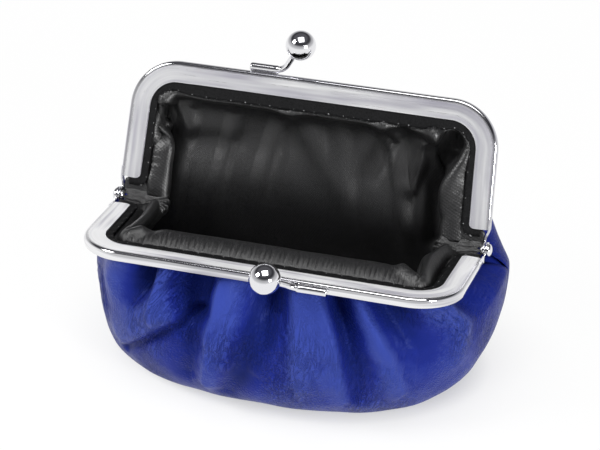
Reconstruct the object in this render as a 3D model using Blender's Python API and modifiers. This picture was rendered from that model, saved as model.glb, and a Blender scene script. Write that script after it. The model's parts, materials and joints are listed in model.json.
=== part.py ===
"""Coin holder: a gathered leather coin purse in a channel frame that shuts with two crossing balls.

Metres, +Z up. X runs along the hinge line and -Y is the front. The origin is on the surface that the purse
stands on, straight below the middle of the hinge line. The frame is open: the rear half leans back a little
and the front half lies forward, almost flat.
"""
import math

import bmesh
import bpy
from mathutils import Matrix, Vector

MM = 0.001

# Frame halves: one bending, used twice
HINGE_HEIGHT = 42.0 * MM
HINGE_HALF_WIDTH = 53.0 * MM
RAIL_HALF_WIDTH = 51.5 * MM
FRAME_HEIGHT = 39.4 * MM
CORNER_RADIUS = 13.5 * MM
CHANNEL_HEIGHT = 5.9 * MM
CHANNEL_DEPTH = 2.9 * MM
SHEET = 0.55 * MM
BEND_RADIUS = 0.35 * MM
FLANGE_START = 5.5 * MM
FLANGE_END_RADIUS = 1.6 * MM
MATING_CLEARANCE = 0.2 * MM
REAR_LEAN = math.radians(24.3)
FRONT_LEAN = math.radians(78.4)

# Ears and rivets
EAR_THICKNESS = 0.45 * MM
EAR_WIDTH = 1.8 * MM
EAR_REACH = 3.0 * MM
EYE_RADIUS = 2.3 * MM
RIVET_RADIUS = 0.8 * MM
RIVET_CLEARANCE = 0.3 * MM
RIVET_HEAD_RADIUS = 1.9 * MM
RIVET_HEAD_HEIGHT = 0.9 * MM
RIVET_TAIL_RADIUS = 1.5 * MM
RIVET_TAIL_HEIGHT = 0.7 * MM

# Clasp
BALL_RADIUS = 4.15 * MM
BALL_SIDE = 4.3 * MM
BALL_PAST_MATING_PLANE = 2.8 * MM
BALL_ABOVE_RAIL = 9.0 * MM
STEM_RADIUS = 1.15 * MM
NECK_RADIUS = 0.9 * MM
STEM_OUTER_END = 18.8 * MM
STEM_INNER_END = 9.6 * MM
STEM_BEND = 2.4 * MM

# Leather bag
LEATHER = 0.7 * MM
SEAM_BEHIND_HINGE = 3.0 * MM
BELLY_HALF_WIDTH = 58.3 * MM
BELLY_FRONT = 45.0 * MM
BELLY_BACK = 27.0 * MM
BELLY_DROP_SIDE = 7.5 * MM
BELLY_DROP_MIDDLE = 14.5 * MM
BASE_LEFT = 43.0 * MM
BASE_RIGHT = 39.0 * MM
BASE_FRONT = 25.0 * MM
BASE_BACK = 17.0 * MM
HOOD_SIDE = 4.0 * MM
HOOD_FRONT = 9.0 * MM
HOOD_BACK = 24.0 * MM
RIM_TURN = 1.1 * MM
RIM_DROP = 2.7 * MM
LEATHER_RIM_START = 0.6 * MM
FOLD_HEIGHT = 3.0 * MM

# Lining, facing, thread and channel cord
LINING = 0.3 * MM
LINING_INSET = 2.2 * MM
LINING_RIM_START = 1.2 * MM
LINING_EDGE = 2.0 * MM
FACING = 0.3 * MM
FACING_EDGE = 3.4 * MM
FACING_INSIDE_CHANNEL = 3.2 * MM
FACING_RIM_START = 1.0 * MM
THREAD_RADIUS = 0.2 * MM
THREAD_EDGE = 1.0 * MM
THREAD_GAP = 0.12 * MM
CORD_RADIUS = 0.6 * MM

# Side gussets
GUSSET = 0.4 * MM
GUSSET_INSET = 1.25 * MM

# Fits, cuts and welds
GAP = 0.3 * MM
FABRIC_GAP = 0.25 * MM
OVERRUN = 2.0 * MM
WELD_DISTANCE = 0.01 * MM

# How many steps the frame's outline takes along a leg, round a corner and along the rail: for cloth, for the
# bent channel and for the cord
CLOTH_STEPS = (5, 6, 12)
CHANNEL_STEPS = (1, 8, 2)
CORD_STEPS = (4, 8, 8)

# How many steps or copies the other forms take
FLANGE_END_STEPS = 3
STEM_BEND_STEPS = 5
HEAD_STEPS = 5
HOOD_STEPS = 6
BELLY_STEPS = 5
BASE_STEPS = 3
GUSSET_STATIONS = 3
EYE_SEGMENTS = 24
BALL_SEGMENTS = 24
BALL_RINGS = 14
RIVET_STEPS = 16

# How many rows of the leather, counted from the rim, the lining and the gussets leave out
LINING_SKIPPED_STEPS = 2
GUSSET_SKIPPED_STEPS = 4

# How square the bag's ovals and its underside are, and how fast the hood over the belly falls to the sides
OVAL_POWER = 2.4
UNDERSIDE_POWER = 2.25
HOOD_FRONT_POWER = 2.5
HOOD_BACK_POWER = 3.2

# How much of the base's width the seam under it runs along
SEAM_LINE_SHARE = 0.93

# The folds that gather the leather into the frame, from the right hinge to the left one: the share of the rim where
# each ridge or valley starts, and the share of FOLD_HEIGHT by which it stands out or, with a minus, lies in
FRONT_FOLD_SHARES = (
    (0.000, 0.0), (0.075, 0.0), (0.130, -0.25), (0.177, 0.45), (0.240, 0.0), (0.295, -0.75), (0.333, 0.55),
    (0.380, -0.95), (0.407, 0.5), (0.450, 0.3), (0.488, -0.85), (0.553, 0.45), (0.587, -0.35), (0.633, -0.7),
    (0.676, 0.4), (0.702, -0.75), (0.765, 0.2), (0.880, 0.0), (1.000, 0.0),
)
BACK_FOLD_SHARES = (
    (0.000, 0.0), (0.150, 0.0), (0.215, 0.25), (0.275, -0.4), (0.325, 0.35), (0.370, -0.5), (0.415, 0.3),
    (0.460, -0.4), (0.510, 0.4), (0.555, -0.55), (0.600, 0.3), (0.645, -0.4), (0.690, 0.35), (0.730, -0.4),
    (0.785, 0.25), (0.850, 0.0), (1.000, 0.0),
)

# How far over the hood a fold takes to reach its height
FOLD_RISE_SHARE = 0.2

# Where the pieces of the channel lie across it, measured from the plane where the two halves meet
CHANNEL_FACE = MATING_CLEARANCE
CHANNEL_MIDDLE = CHANNEL_FACE + CHANNEL_DEPTH / 2
CHANNEL_BACK = CHANNEL_FACE + CHANNEL_DEPTH
FACING_FACE = CHANNEL_FACE + SHEET + FABRIC_GAP
FACING_BACK = FACING_FACE + FACING
LEATHER_BACK = CHANNEL_BACK - SHEET - FABRIC_GAP
LINING_BACK = FACING_BACK + FABRIC_GAP + LINING
EAR_STEP = EAR_THICKNESS + GAP
CORD_INSET = SHEET + GAP + CORD_RADIUS
LEATHER_TUCK = CORD_INSET + CORD_RADIUS + GAP

FRONT = -1
REAR = 1
LEAN = {FRONT: FRONT_LEAN, REAR: REAR_LEAN}
SIDE_NAME = {FRONT: "front", REAR: "rear"}
PANEL_NAME = {FRONT: "front", REAR: "back"}
FOLD_SHARES = {FRONT: FRONT_FOLD_SHARES, REAR: BACK_FOLD_SHARES}


def clear_scene():
    for item in list(bpy.data.objects):
        bpy.data.objects.remove(item)


def new_collection(name):
    collection = bpy.data.collections.new(name)
    bpy.context.scene.collection.children.link(collection)
    return collection


def new_material(name, colour, roughness, metallic):
    material = bpy.data.materials.new(name)
    material.use_nodes = True
    shader = material.node_tree.nodes["Principled BSDF"]
    shader.inputs["Base Color"].default_value = (*colour, 1)
    shader.inputs["Roughness"].default_value = roughness
    shader.inputs["Metallic"].default_value = metallic
    material.diffuse_color = (*colour, 1)
    return material


clear_scene()
PARTS = new_collection("coin_holder")
CHROME = new_material("chrome", (0.72, 0.72, 0.74), 0.08, 1)
LEATHER_BLUE = new_material("blue_leather", (0.028, 0.042, 0.29), 0.42, 0)
TWILL_BLACK = new_material("black_twill", (0.012, 0.012, 0.013), 0.5, 0)
THREAD_BLACK = new_material("black_thread", (0.03, 0.03, 0.032), 0.6, 0)
PAPER = new_material("paper_cord", (0.55, 0.47, 0.36), 0.9, 0)


def link(item, material):
    item.data.materials.append(material)
    PARTS.objects.link(item)
    return item


def shade_smooth(item, degrees=35):
    item.data.shade_smooth()
    item.data.set_sharp_from_angle(angle=math.radians(degrees))


def mesh_object(name, build, material):
    """A new object whose mesh is made by build, which fills a bmesh."""
    mesh = bpy.data.meshes.new(name)
    bm = bmesh.new()
    build(bm)
    bm.to_mesh(mesh)
    bm.free()
    item = link(bpy.data.objects.new(name, mesh), material)
    shade_smooth(item)
    return item


def weld(mesh):
    """Joins the points of a mesh that lie closer together than any real edge is long."""
    bm = bmesh.new()
    bm.from_mesh(mesh)
    bmesh.ops.remove_doubles(bm, verts=bm.verts, dist=WELD_DISTANCE)
    bm.to_mesh(mesh)
    bm.free()


def curve_to_mesh(name, curve, material):
    """The solid of a curve as a mesh with welded caps."""
    holder = bpy.data.objects.new(name + "_curve", curve)
    bpy.context.scene.collection.objects.link(holder)
    bpy.context.view_layer.update()
    evaluated = holder.evaluated_get(bpy.context.evaluated_depsgraph_get())
    mesh = bpy.data.meshes.new_from_object(evaluated)
    mesh.name = name
    item = bpy.data.objects.new(name, mesh)
    item.matrix_world = holder.matrix_world
    weld(mesh)
    mesh.materials.clear()
    bpy.data.objects.remove(holder)
    link(item, material)
    shade_smooth(item)
    return item


def outline_curve(name, points, depth, rounding=0.0):
    """A flat closed outline, extruded to depth about its own plane, with its edges rounded inward."""
    curve = bpy.data.curves.new(name, "CURVE")
    curve.dimensions = "2D"
    curve.fill_mode = "BOTH"
    curve.extrude = depth / 2 - rounding
    curve.bevel_depth = rounding
    curve.bevel_resolution = 1
    curve.offset = -rounding
    spline = curve.splines.new("POLY")
    spline.points.add(len(points) - 1)
    for point, (across, up) in zip(spline.points, points):
        point.co = (across, up, 0, 1)
    spline.use_cyclic_u = True
    return curve


def tube_curve(name, points, radius, shares, resolution=3):
    """A round rod through points, with a radius share at each, and filled caps."""
    curve = bpy.data.curves.new(name, "CURVE")
    curve.dimensions = "3D"
    curve.bevel_depth = radius
    curve.bevel_resolution = resolution
    curve.use_fill_caps = True
    spline = curve.splines.new("POLY")
    spline.points.add(len(points) - 1)
    for point, place, share in zip(spline.points, points, shares):
        point.co = (*place, 1)
        point.radius = share
    return curve


def cut(item, other, operation):
    """Joins other to item, or takes it away, keeps the result in item's own mesh and removes other."""
    modifier = item.modifiers.new(operation.lower(), "BOOLEAN")
    modifier.operation = operation
    modifier.solver = "EXACT"
    modifier.object = other
    bpy.context.view_layer.update()
    evaluated = item.evaluated_get(bpy.context.evaluated_depsgraph_get())
    mesh = bpy.data.meshes.new_from_object(evaluated)
    weld(mesh)
    item.modifiers.clear()
    item.data = mesh
    bpy.data.objects.remove(other)


def stand_up(item):
    """Turns a flat outline from the XY plane into the XZ plane, depth along Y, in its own mesh."""
    item.data.transform(Matrix.Rotation(math.radians(90), 4, "X"))


def shift(item, offset):
    item.data.transform(Matrix.Translation(offset))


def steps_between(first, last, count):
    """Count shares of the way from first to last, the first left out and the last kept."""
    return [first + (last - first) * (k + 1) / count for k in range(count)]


def mirrored(points):
    """The points (x, height) moved to the other hand."""
    return [Vector((-point.x, point.y)) for point in points]


def frame_outline(inset, start, steps=CLOTH_STEPS, places=None):
    """Points (x, height) of the frame's U, inset from its outside, from the right leg's foot to the left's.

    The rail's own stations are evenly spaced, or lie at the given shares of its width.
    """
    legs, corners, rail = steps
    places = places or steps_between(0, 1, rail)[:-1]
    taper = math.atan2(HINGE_HALF_WIDTH - RAIL_HALF_WIDTH, FRAME_HEIGHT)
    outward = Vector((math.cos(taper), math.sin(taper)))
    along_leg = Vector((-math.sin(taper), math.cos(taper)))
    foot = Vector((HINGE_HALF_WIDTH, 0)) - outward * inset + along_leg * start
    centre_height = FRAME_HEIGHT - CORNER_RADIUS
    centre_on_leg = (centre_height - CORNER_RADIUS * outward.y) / along_leg.y
    centre = Vector((HINGE_HALF_WIDTH, 0)) + along_leg * centre_on_leg - outward * CORNER_RADIUS
    centre.y = centre_height
    bend = CORNER_RADIUS - inset
    top_of_leg = centre + outward * bend
    right = [foot] + [foot.lerp(top_of_leg, share) for share in steps_between(0, 1, legs)]
    for share in steps_between(0, 1, corners):
        angle = taper + (math.radians(90) - taper) * share
        right.append(centre + Vector((math.cos(angle), math.sin(angle))) * bend)
    end = right[-1]
    across = [Vector((end.x * (1 - 2 * share), end.y)) for share in places]
    return right + across + mirrored(right)[::-1]


def half_point(side, x, height, depth):
    """A point of a frame half in the world: height along the half, depth away from the other half."""
    lean = LEAN[side]
    y = side * (height * math.sin(lean) + depth * math.cos(lean))
    z = HINGE_HEIGHT + height * math.cos(lean) - depth * math.sin(lean)
    return Vector((x, y, z))


def pivot(side):
    """The empty on the hinge line that carries one frame half, built upright and leaning as it is open."""
    empty = bpy.data.objects.new(SIDE_NAME[side] + "_half_pivot", None)
    empty.location = (0, 0, HINGE_HEIGHT)
    turn = 0 if side == REAR else math.radians(180)
    empty.rotation_euler = (-LEAN[side], 0, turn)
    PARTS.objects.link(empty)
    return empty


def flange_end():
    """The rounded lower corner of a flange on the right leg, from its foot round to its inner edge."""
    points = []
    for share in [0] + steps_between(0, 1, FLANGE_END_STEPS):
        angle = math.radians(90) * share
        inset = CHANNEL_HEIGHT - FLANGE_END_RADIUS * (1 - math.sin(angle))
        start = FLANGE_START + FLANGE_END_RADIUS * (1 - math.cos(angle))
        points.append(frame_outline(inset, start)[0])
    return points


def channel(name):
    """The bent channel of one half, upright: a rounded bar with its groove cut from the inside."""
    outer = frame_outline(0, FLANGE_START, CHANNEL_STEPS)
    inner = frame_outline(CHANNEL_HEIGHT, FLANGE_START + FLANGE_END_RADIUS, CHANNEL_STEPS)
    corner = flange_end()
    section = outer + mirrored(corner) + inner[-2:0:-1] + corner[::-1]
    item = curve_to_mesh(name, outline_curve(name, section, CHANNEL_DEPTH, BEND_RADIUS), CHROME)
    stand_up(item)
    shift(item, (0, CHANNEL_MIDDLE, 0))
    groove_outer = frame_outline(SHEET, FLANGE_START - OVERRUN, CHANNEL_STEPS)
    groove_inner = frame_outline(CHANNEL_HEIGHT + OVERRUN, FLANGE_START - OVERRUN, CHANNEL_STEPS)
    curve = outline_curve(name + "_groove", groove_outer + groove_inner[::-1], CHANNEL_DEPTH - 2 * SHEET)
    groove = curve_to_mesh(name + "_groove", curve, CHROME)
    stand_up(groove)
    shift(groove, (0, CHANNEL_MIDDLE, 0))
    cut(item, groove, "DIFFERENCE")
    return item


def ear(name, hand, step):
    """One ear, a narrow strip that runs on from the web and steps inward, with a round eye on the hinge line."""
    margin = (SHEET - EAR_THICKNESS) / 2
    outside = HINGE_HALF_WIDTH - margin
    slope = (HINGE_HALF_WIDTH - RAIL_HALF_WIDTH) / FRAME_HEIGHT
    bend_low = FLANGE_START / 2
    top = FLANGE_START + EAR_REACH
    bend_high = FLANGE_START + GAP
    line = [(outside - step, 0), (outside - step, bend_low), (outside - bend_high * slope, bend_high),
            (outside - top * slope, top)]
    back = [(x - EAR_THICKNESS, height) for x, height in reversed(line)]
    strip = curve_to_mesh(name, outline_curve(name, line + back, EAR_WIDTH), CHROME)
    stand_up(strip)
    shift(strip, (0, CHANNEL_FACE + margin + EAR_WIDTH / 2, 0))
    eye_x = outside - step - EAR_THICKNESS / 2

    def round_eye(bm):
        turn = Matrix.Translation((eye_x, 0, 0)) @ Matrix.Rotation(math.radians(90), 4, "Y")
        bmesh.ops.create_cone(bm, cap_ends=True, segments=EYE_SEGMENTS, radius1=EYE_RADIUS, radius2=EYE_RADIUS,
                              depth=EAR_THICKNESS, matrix=turn)

    cut(strip, mesh_object(name + "_eye", round_eye, CHROME), "UNION")

    def bore(bm):
        turn = Matrix.Translation((eye_x, 0, 0)) @ Matrix.Rotation(math.radians(90), 4, "Y")
        radius = RIVET_RADIUS + RIVET_CLEARANCE
        bmesh.ops.create_cone(bm, cap_ends=True, segments=EYE_SEGMENTS, radius1=radius, radius2=radius,
                              depth=EAR_THICKNESS + 2 * OVERRUN, matrix=turn)

    cut(strip, mesh_object(name + "_bore", bore, CHROME), "DIFFERENCE")
    if hand < 0:
        strip.data.transform(Matrix.Scale(-1, 4, (1, 0, 0)))
        strip.data.flip_normals()
    return strip


def frame_half(side, carrier):
    """A frame half: the channel and its two ears as one bent piece. The rear ears step inside the front ones."""
    name = SIDE_NAME[side] + "_frame"
    item = channel(name)
    step = EAR_STEP if side == REAR else 0
    for hand in (-1, 1):
        cut(item, ear(name + "_ear", hand, step), "UNION")
    item.name = name
    item.parent = carrier
    shade_smooth(item)
    return item


def clasp(side, carrier):
    """The soldered stem, its neck bent up and over, and the ball. Both halves use the same pair."""
    ball_centre = Vector((-BALL_SIDE, -BALL_PAST_MATING_PLANE, FRAME_HEIGHT + BALL_ABOVE_RAIL))
    lying = FRAME_HEIGHT + GAP + STEM_RADIUS
    outer = Vector((-STEM_OUTER_END, CHANNEL_MIDDLE, lying))
    inner = Vector((-STEM_INNER_END, CHANNEL_MIDDLE, lying))
    toward = (ball_centre - inner).normalized()
    seat = ball_centre - toward * (BALL_RADIUS + GAP)
    bend_start = inner - Vector((1, 0, 0)) * STEM_BEND
    bend_end = inner + toward * STEM_BEND
    bend = [bend_start.lerp(inner, t).lerp(inner.lerp(bend_end, t), t) for t in steps_between(0, 1, STEM_BEND_STEPS)]
    neck_share = NECK_RADIUS / STEM_RADIUS
    points = [outer, bend_start] + bend + [seat]
    shares = [1, 1, 1, 1] + [neck_share] * (len(points) - 4)
    name = SIDE_NAME[side] + "_clasp_stem"
    stem = curve_to_mesh(name, tube_curve(name, points, STEM_RADIUS, shares), CHROME)
    stem.parent = carrier

    def round_ball(bm):
        bmesh.ops.create_uvsphere(bm, u_segments=BALL_SEGMENTS, v_segments=BALL_RINGS, radius=BALL_RADIUS,
                                  matrix=Matrix.Translation(ball_centre))

    ball = mesh_object(SIDE_NAME[side] + "_clasp_ball", round_ball, CHROME)
    ball.parent = carrier


def rivet(hand, name):
    """A turned rivet on the hinge line: domed head outside the ears, flat tail inside."""
    head_seat = HINGE_HALF_WIDTH + GAP
    tail_seat = HINGE_HALF_WIDTH - SHEET - EAR_STEP - GAP
    dome = [(RIVET_HEAD_RADIUS * math.sin(angle), head_seat + RIVET_HEAD_HEIGHT * math.cos(angle))
            for angle in (math.radians(90) * share for share in steps_between(0, 1, HEAD_STEPS))]
    profile = [(0, head_seat + RIVET_HEAD_HEIGHT)] + dome
    profile += [(RIVET_RADIUS, head_seat), (RIVET_RADIUS, tail_seat), (RIVET_TAIL_RADIUS, tail_seat),
                (RIVET_TAIL_RADIUS, tail_seat - RIVET_TAIL_HEIGHT), (0, tail_seat - RIVET_TAIL_HEIGHT)]

    def half_section(bm):
        verts = [bm.verts.new((radius, 0, height)) for radius, height in profile]
        for first, second in zip(verts, verts[1:]):
            bm.edges.new((first, second))

    item = mesh_object(name, half_section, CHROME)
    screw = item.modifiers.new("turned", "SCREW")
    screw.steps = RIVET_STEPS
    screw.render_steps = RIVET_STEPS
    screw.use_merge_vertices = True
    screw.merge_threshold = WELD_DISTANCE
    item.location = (0, 0, HINGE_HEIGHT)
    item.rotation_euler = (0, hand * math.radians(90), 0)
    return item


def oval(side, share, right, left, reach):
    """A point (x, y) of half an oval round the bag, from its right end at share 0 to its left end at share 1."""
    angle = math.pi * share
    power = 2 / OVAL_POWER
    cosine = math.cos(angle)
    x = math.copysign(abs(cosine) ** power, cosine) * (right if cosine > 0 else left)
    y = SEAM_BEHIND_HINGE + side * (GAP / 2 + reach * abs(math.sin(angle)) ** power)
    return x, y


def rim_shares(points):
    """How far along the rim each station lies, from 0 to 1."""
    lengths = [0.0]
    for first, second in zip(points, points[1:]):
        lengths.append(lengths[-1] + (second - first).length)
    return [length / lengths[-1] for length in lengths]


def bezier(points, t):
    """A point of a smooth curve held by four points."""
    while len(points) > 1:
        points = [first.lerp(second, t) for first, second in zip(points, points[1:])]
    return points[0]


def fold_places(side):
    """Where the leather's stations lie along the rail, as shares of its width: one on each ridge and valley."""
    shares = rim_shares(frame_outline(CHANNEL_HEIGHT + GAP, LEATHER_RIM_START))
    rail_start = shares[CLOTH_STEPS[0] + CLOTH_STEPS[1]]
    places = [(share - rail_start) / (1 - 2 * rail_start) for share, _ in FOLD_SHARES[side]]
    return [place for place in places if 0 < place < 1]


def fold_height(side, share):
    """How far the leather's folds stand out at a share of the rim or, with a minus, lie in."""
    table = FOLD_SHARES[side]
    for (first, low), (last, high) in zip(table, table[1:]):
        if share <= last:
            return FOLD_HEIGHT * (low + (high - low) * (share - first) / (last - first))
    return 0


def fold_heights(side):
    """The folds' height at each point of the leather, from nothing in the channel to nothing at the base."""
    rim = frame_outline(CHANNEL_HEIGHT + GAP, LEATHER_RIM_START, places=fold_places(side))
    full = [fold_height(side, share) for share in rim_shares(rim)]
    heights = [[0] * len(full)] * 2
    for t in steps_between(0, 1, HOOD_STEPS):
        valley = min(1, t / FOLD_RISE_SHARE)
        ridge = min(1, max(0, t / FOLD_RISE_SHARE - 1))
        heights.append([height * (ridge if height > 0 else valley) for height in full])
    for share in steps_between(0, 1, BELLY_STEPS):
        heights.append([height * math.cos(math.radians(90) * share) for height in full])
    return heights + [[0] * len(full)] * BASE_STEPS


def smooth_rows(side):
    """Rows of points of the leather's outer face without its folds, from the channel to the seam under the base."""
    exit_inset = CHANNEL_HEIGHT + GAP
    places = fold_places(side)
    rims = [frame_outline(inset, LEATHER_RIM_START, places=places)
            for inset in (LEATHER_TUCK, exit_inset, exit_inset + RIM_TURN)]
    shares = rim_shares(rims[1])
    reach = BELLY_FRONT if side == FRONT else BELLY_BACK
    base_reach = BASE_FRONT if side == FRONT else BASE_BACK
    hood_middle = HOOD_FRONT if side == FRONT else HOOD_BACK
    hood_power = HOOD_FRONT_POWER if side == FRONT else HOOD_BACK_POWER
    tucked, leaving = [[half_point(side, p.x, p.y, LEATHER_BACK) for p in rim] for rim in rims[:2]]
    turned = [half_point(side, p.x, p.y, LEATHER_BACK + RIM_DROP) for p in rims[2]]
    bellies = []
    hoods = []
    feet = []
    for share in shares:
        arch = math.sin(math.pi * share)
        x, y = oval(side, share, BELLY_HALF_WIDTH, BELLY_HALF_WIDTH, reach)
        drop = BELLY_DROP_SIDE + (BELLY_DROP_MIDDLE - BELLY_DROP_SIDE) * arch
        bellies.append(Vector((x, y, HINGE_HEIGHT - drop)))
        hoods.append(bellies[-1] + Vector((0, 0, HOOD_SIDE + (hood_middle - HOOD_SIDE) * arch ** hood_power)))
        feet.append(Vector((*oval(side, share, BASE_RIGHT, BASE_LEFT, base_reach), 0)))
    rows = [tucked, leaving]
    for t in steps_between(0, 1, HOOD_STEPS):
        rows.append([bezier(list(held), t) for held in zip(leaving, turned, hoods, bellies)])
    for share in steps_between(0, 1, BELLY_STEPS):
        angle = math.radians(90) * share
        out = max(0, math.cos(angle)) ** (2 / UNDERSIDE_POWER)
        down = math.sin(angle) ** (2 / UNDERSIDE_POWER)
        row = [foot.lerp(belly, out) for belly, foot in zip(bellies, feet)]
        for point, belly in zip(row, bellies):
            point.z = belly.z * (1 - down)
        rows.append(row)
    seam_y = SEAM_BEHIND_HINGE + side * GAP / 2
    ends = [Vector((foot.x * SEAM_LINE_SHARE, seam_y, 0)) for foot in feet]
    for t in steps_between(0, 1, BASE_STEPS):
        rows.append([foot.lerp(end, t) for foot, end in zip(feet, ends)])
    return rows


def inside(side, rows, distances):
    """The rows moved into the bag, square to the panel, each point by its own distance."""
    moved = []
    for j, row in enumerate(rows):
        above, below = rows[max(j - 1, 0)], rows[min(j + 1, len(rows) - 1)]
        new_row = []
        for k, point in enumerate(row):
            along = row[min(k + 1, len(row) - 1)] - row[max(k - 1, 0)]
            down = below[k] - above[k]
            inward = down.cross(along).normalized() * -side if point.z > 0 else Vector((0, 0, 1))
            new_row.append(point + inward * distances[j][k])
        moved.append(new_row)
    return moved


def leather_rows(side):
    """Rows of the leather's outer face with its folds."""
    return inside(side, smooth_rows(side), [[-height for height in row] for row in fold_heights(side)])


def lining_rows(side):
    """Rows of the lining's outer face: its rim behind the facing, and then rows that keep inside every valley."""
    rim = frame_outline(CHANNEL_HEIGHT + LINING_EDGE, LINING_RIM_START, places=fold_places(side))
    edge = [half_point(side, p.x, p.y, LINING_BACK) for p in rim]
    insets = [[LINING_INSET + max(0, -height) for height in row] for row in fold_heights(side)]
    return [edge] + inside(side, smooth_rows(side), insets)[LINING_SKIPPED_STEPS:]


def panel(name, side, rows, thickness, material):
    """A cloth or leather panel: a grid laid on the rows, thickened towards the inside of the bag."""
    columns = len(rows[0])

    def sheet(bm):
        bmesh.ops.create_grid(bm, x_segments=columns - 1, y_segments=len(rows) - 1, size=1)
        ordered = sorted(bm.verts, key=lambda v: (round(v.co.y, 6), round(v.co.x, 6)))
        for index, vert in enumerate(ordered):
            vert.co = rows[index // columns][index % columns]
        if side == REAR:
            bmesh.ops.reverse_faces(bm, faces=bm.faces)

    item = mesh_object(name, sheet, material)
    wall = item.modifiers.new("thickness", "SOLIDIFY")
    wall.thickness = thickness
    wall.offset = -1
    return item


def bag_panels():
    """Leather and lining, each sewn from a front and a back panel that meet in a seam behind the hinge line."""
    for side in (FRONT, REAR):
        panel("leather_" + PANEL_NAME[side] + "_panel", side, leather_rows(side), LEATHER, LEATHER_BLUE)
        panel("lining_" + PANEL_NAME[side] + "_panel", side, lining_rows(side), LINING, TWILL_BLACK)


def facing(side, carrier):
    """The black strip glued in the channel, which the gathered lining is sewn to."""
    name = SIDE_NAME[side] + "_facing"
    outer = frame_outline(CHANNEL_HEIGHT - FACING_INSIDE_CHANNEL, FACING_RIM_START)
    inner = frame_outline(CHANNEL_HEIGHT + FACING_EDGE, FACING_RIM_START)
    item = curve_to_mesh(name, outline_curve(name, outer + inner[::-1], FACING), TWILL_BLACK)
    stand_up(item)
    shift(item, (0, (FACING_FACE + FACING_BACK) / 2, 0))
    item.parent = carrier


def gather_thread(side, carrier):
    """The thread of the gathering seam, near the facing's free edge, on the side that faces into the open bag."""
    name = SIDE_NAME[side] + "_gather_thread"
    line = frame_outline(CHANNEL_HEIGHT + FACING_EDGE - THREAD_EDGE, FACING_RIM_START + THREAD_EDGE)
    points = [(p.x, FACING_FACE - THREAD_GAP - THREAD_RADIUS, p.y) for p in line]
    item = curve_to_mesh(name, tube_curve(name, points, THREAD_RADIUS, [1] * len(points), 1), THREAD_BLACK)
    item.parent = carrier


def channel_cord(side, carrier):
    """The twisted paper cord pushed into the bottom of the channel, which wedges the leather there."""
    name = SIDE_NAME[side] + "_channel_cord"
    line = frame_outline(CORD_INSET, FLANGE_START, CORD_STEPS)
    points = [(p.x, CHANNEL_MIDDLE, p.y) for p in line]
    item = curve_to_mesh(name, tube_curve(name, points, CORD_RADIUS, [1] * len(points), 2), PAPER)
    item.parent = carrier


def side_gusset(hand, name):
    """A small leather gusset just inside the side seam, under the hinge, which bridges front and back."""
    columns = {}
    for side in (FRONT, REAR):
        rows = smooth_rows(side)
        rows = inside(side, rows, [[GUSSET_INSET] * len(row) for row in rows])
        rows = rows[GUSSET_SKIPPED_STEPS:HOOD_STEPS + BELLY_STEPS]
        columns[side] = [row[::hand][:GUSSET_STATIONS] for row in rows]
    across = [front[::-1] + rear for front, rear in zip(columns[FRONT], columns[REAR])]
    panel(name, REAR if hand > 0 else FRONT, across, GUSSET, LEATHER_BLUE)


def build():
    carriers = {side: pivot(side) for side in (FRONT, REAR)}
    for side, carrier in carriers.items():
        frame_half(side, carrier)
        clasp(side, carrier)
        facing(side, carrier)
        gather_thread(side, carrier)
        channel_cord(side, carrier)
    rivet(-1, "hinge_rivet_left")
    rivet(1, "hinge_rivet_right")
    bag_panels()
    side_gusset(-1, "side_gusset_left")
    side_gusset(1, "side_gusset_right")


build()
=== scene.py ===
"""Coin holder: a gathered blue leather purse with a black lining, in a chromed channel frame with a ball clasp.

Metres, +Z up. X runs along the hinge line and -Y is the front. The origin is on the surface that the purse
stands on, straight below the middle of the hinge line. The frame is open: the rear half leans back a little and
the front half lies forward, almost flat.
"""
import json
import logging
import math
from dataclasses import dataclass, field
from enum import Enum
from typing import Sequence

import bmesh
import bpy
import numpy as np
from mathutils import Matrix, Vector, noise
from mathutils.kdtree import KDTree


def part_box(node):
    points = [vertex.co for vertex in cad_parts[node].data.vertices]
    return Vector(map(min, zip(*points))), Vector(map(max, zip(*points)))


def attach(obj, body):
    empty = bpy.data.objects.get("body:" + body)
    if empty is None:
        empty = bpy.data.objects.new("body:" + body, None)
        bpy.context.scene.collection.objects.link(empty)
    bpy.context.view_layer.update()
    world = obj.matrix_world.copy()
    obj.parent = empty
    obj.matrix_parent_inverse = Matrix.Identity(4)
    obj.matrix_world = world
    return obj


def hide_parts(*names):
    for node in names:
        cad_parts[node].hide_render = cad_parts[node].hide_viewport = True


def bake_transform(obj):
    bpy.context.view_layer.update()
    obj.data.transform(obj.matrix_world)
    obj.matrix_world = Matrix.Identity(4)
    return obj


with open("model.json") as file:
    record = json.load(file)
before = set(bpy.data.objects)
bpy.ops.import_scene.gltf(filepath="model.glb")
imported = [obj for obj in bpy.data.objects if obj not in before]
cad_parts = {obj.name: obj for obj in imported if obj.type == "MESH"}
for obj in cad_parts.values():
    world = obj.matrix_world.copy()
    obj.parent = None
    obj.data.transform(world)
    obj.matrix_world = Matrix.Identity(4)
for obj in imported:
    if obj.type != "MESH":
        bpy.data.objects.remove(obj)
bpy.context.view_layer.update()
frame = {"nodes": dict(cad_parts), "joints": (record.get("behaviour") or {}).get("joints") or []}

log = logging.getLogger("coin_holder")

MM = 0.001
RIGHT_ANGLE = math.radians(90)
SHARP_EDGE = math.radians(50)
WELD = 0.004 * MM
TINY = 1e-12
# Blender's wave texture turns through this many radians over one unit.
WAVE_RADIANS = 20
# What the folds' shares of the rim and of the way down are measured against.
RIM_LENGTH = 150 * MM
DROP_LENGTH = 105 * MM
Grid = np.ndarray
Pair = tuple[float, float]
Triple = tuple[float, float, float]
Mesh = bmesh.types.BMesh
Socket = bpy.types.NodeSocket


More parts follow.
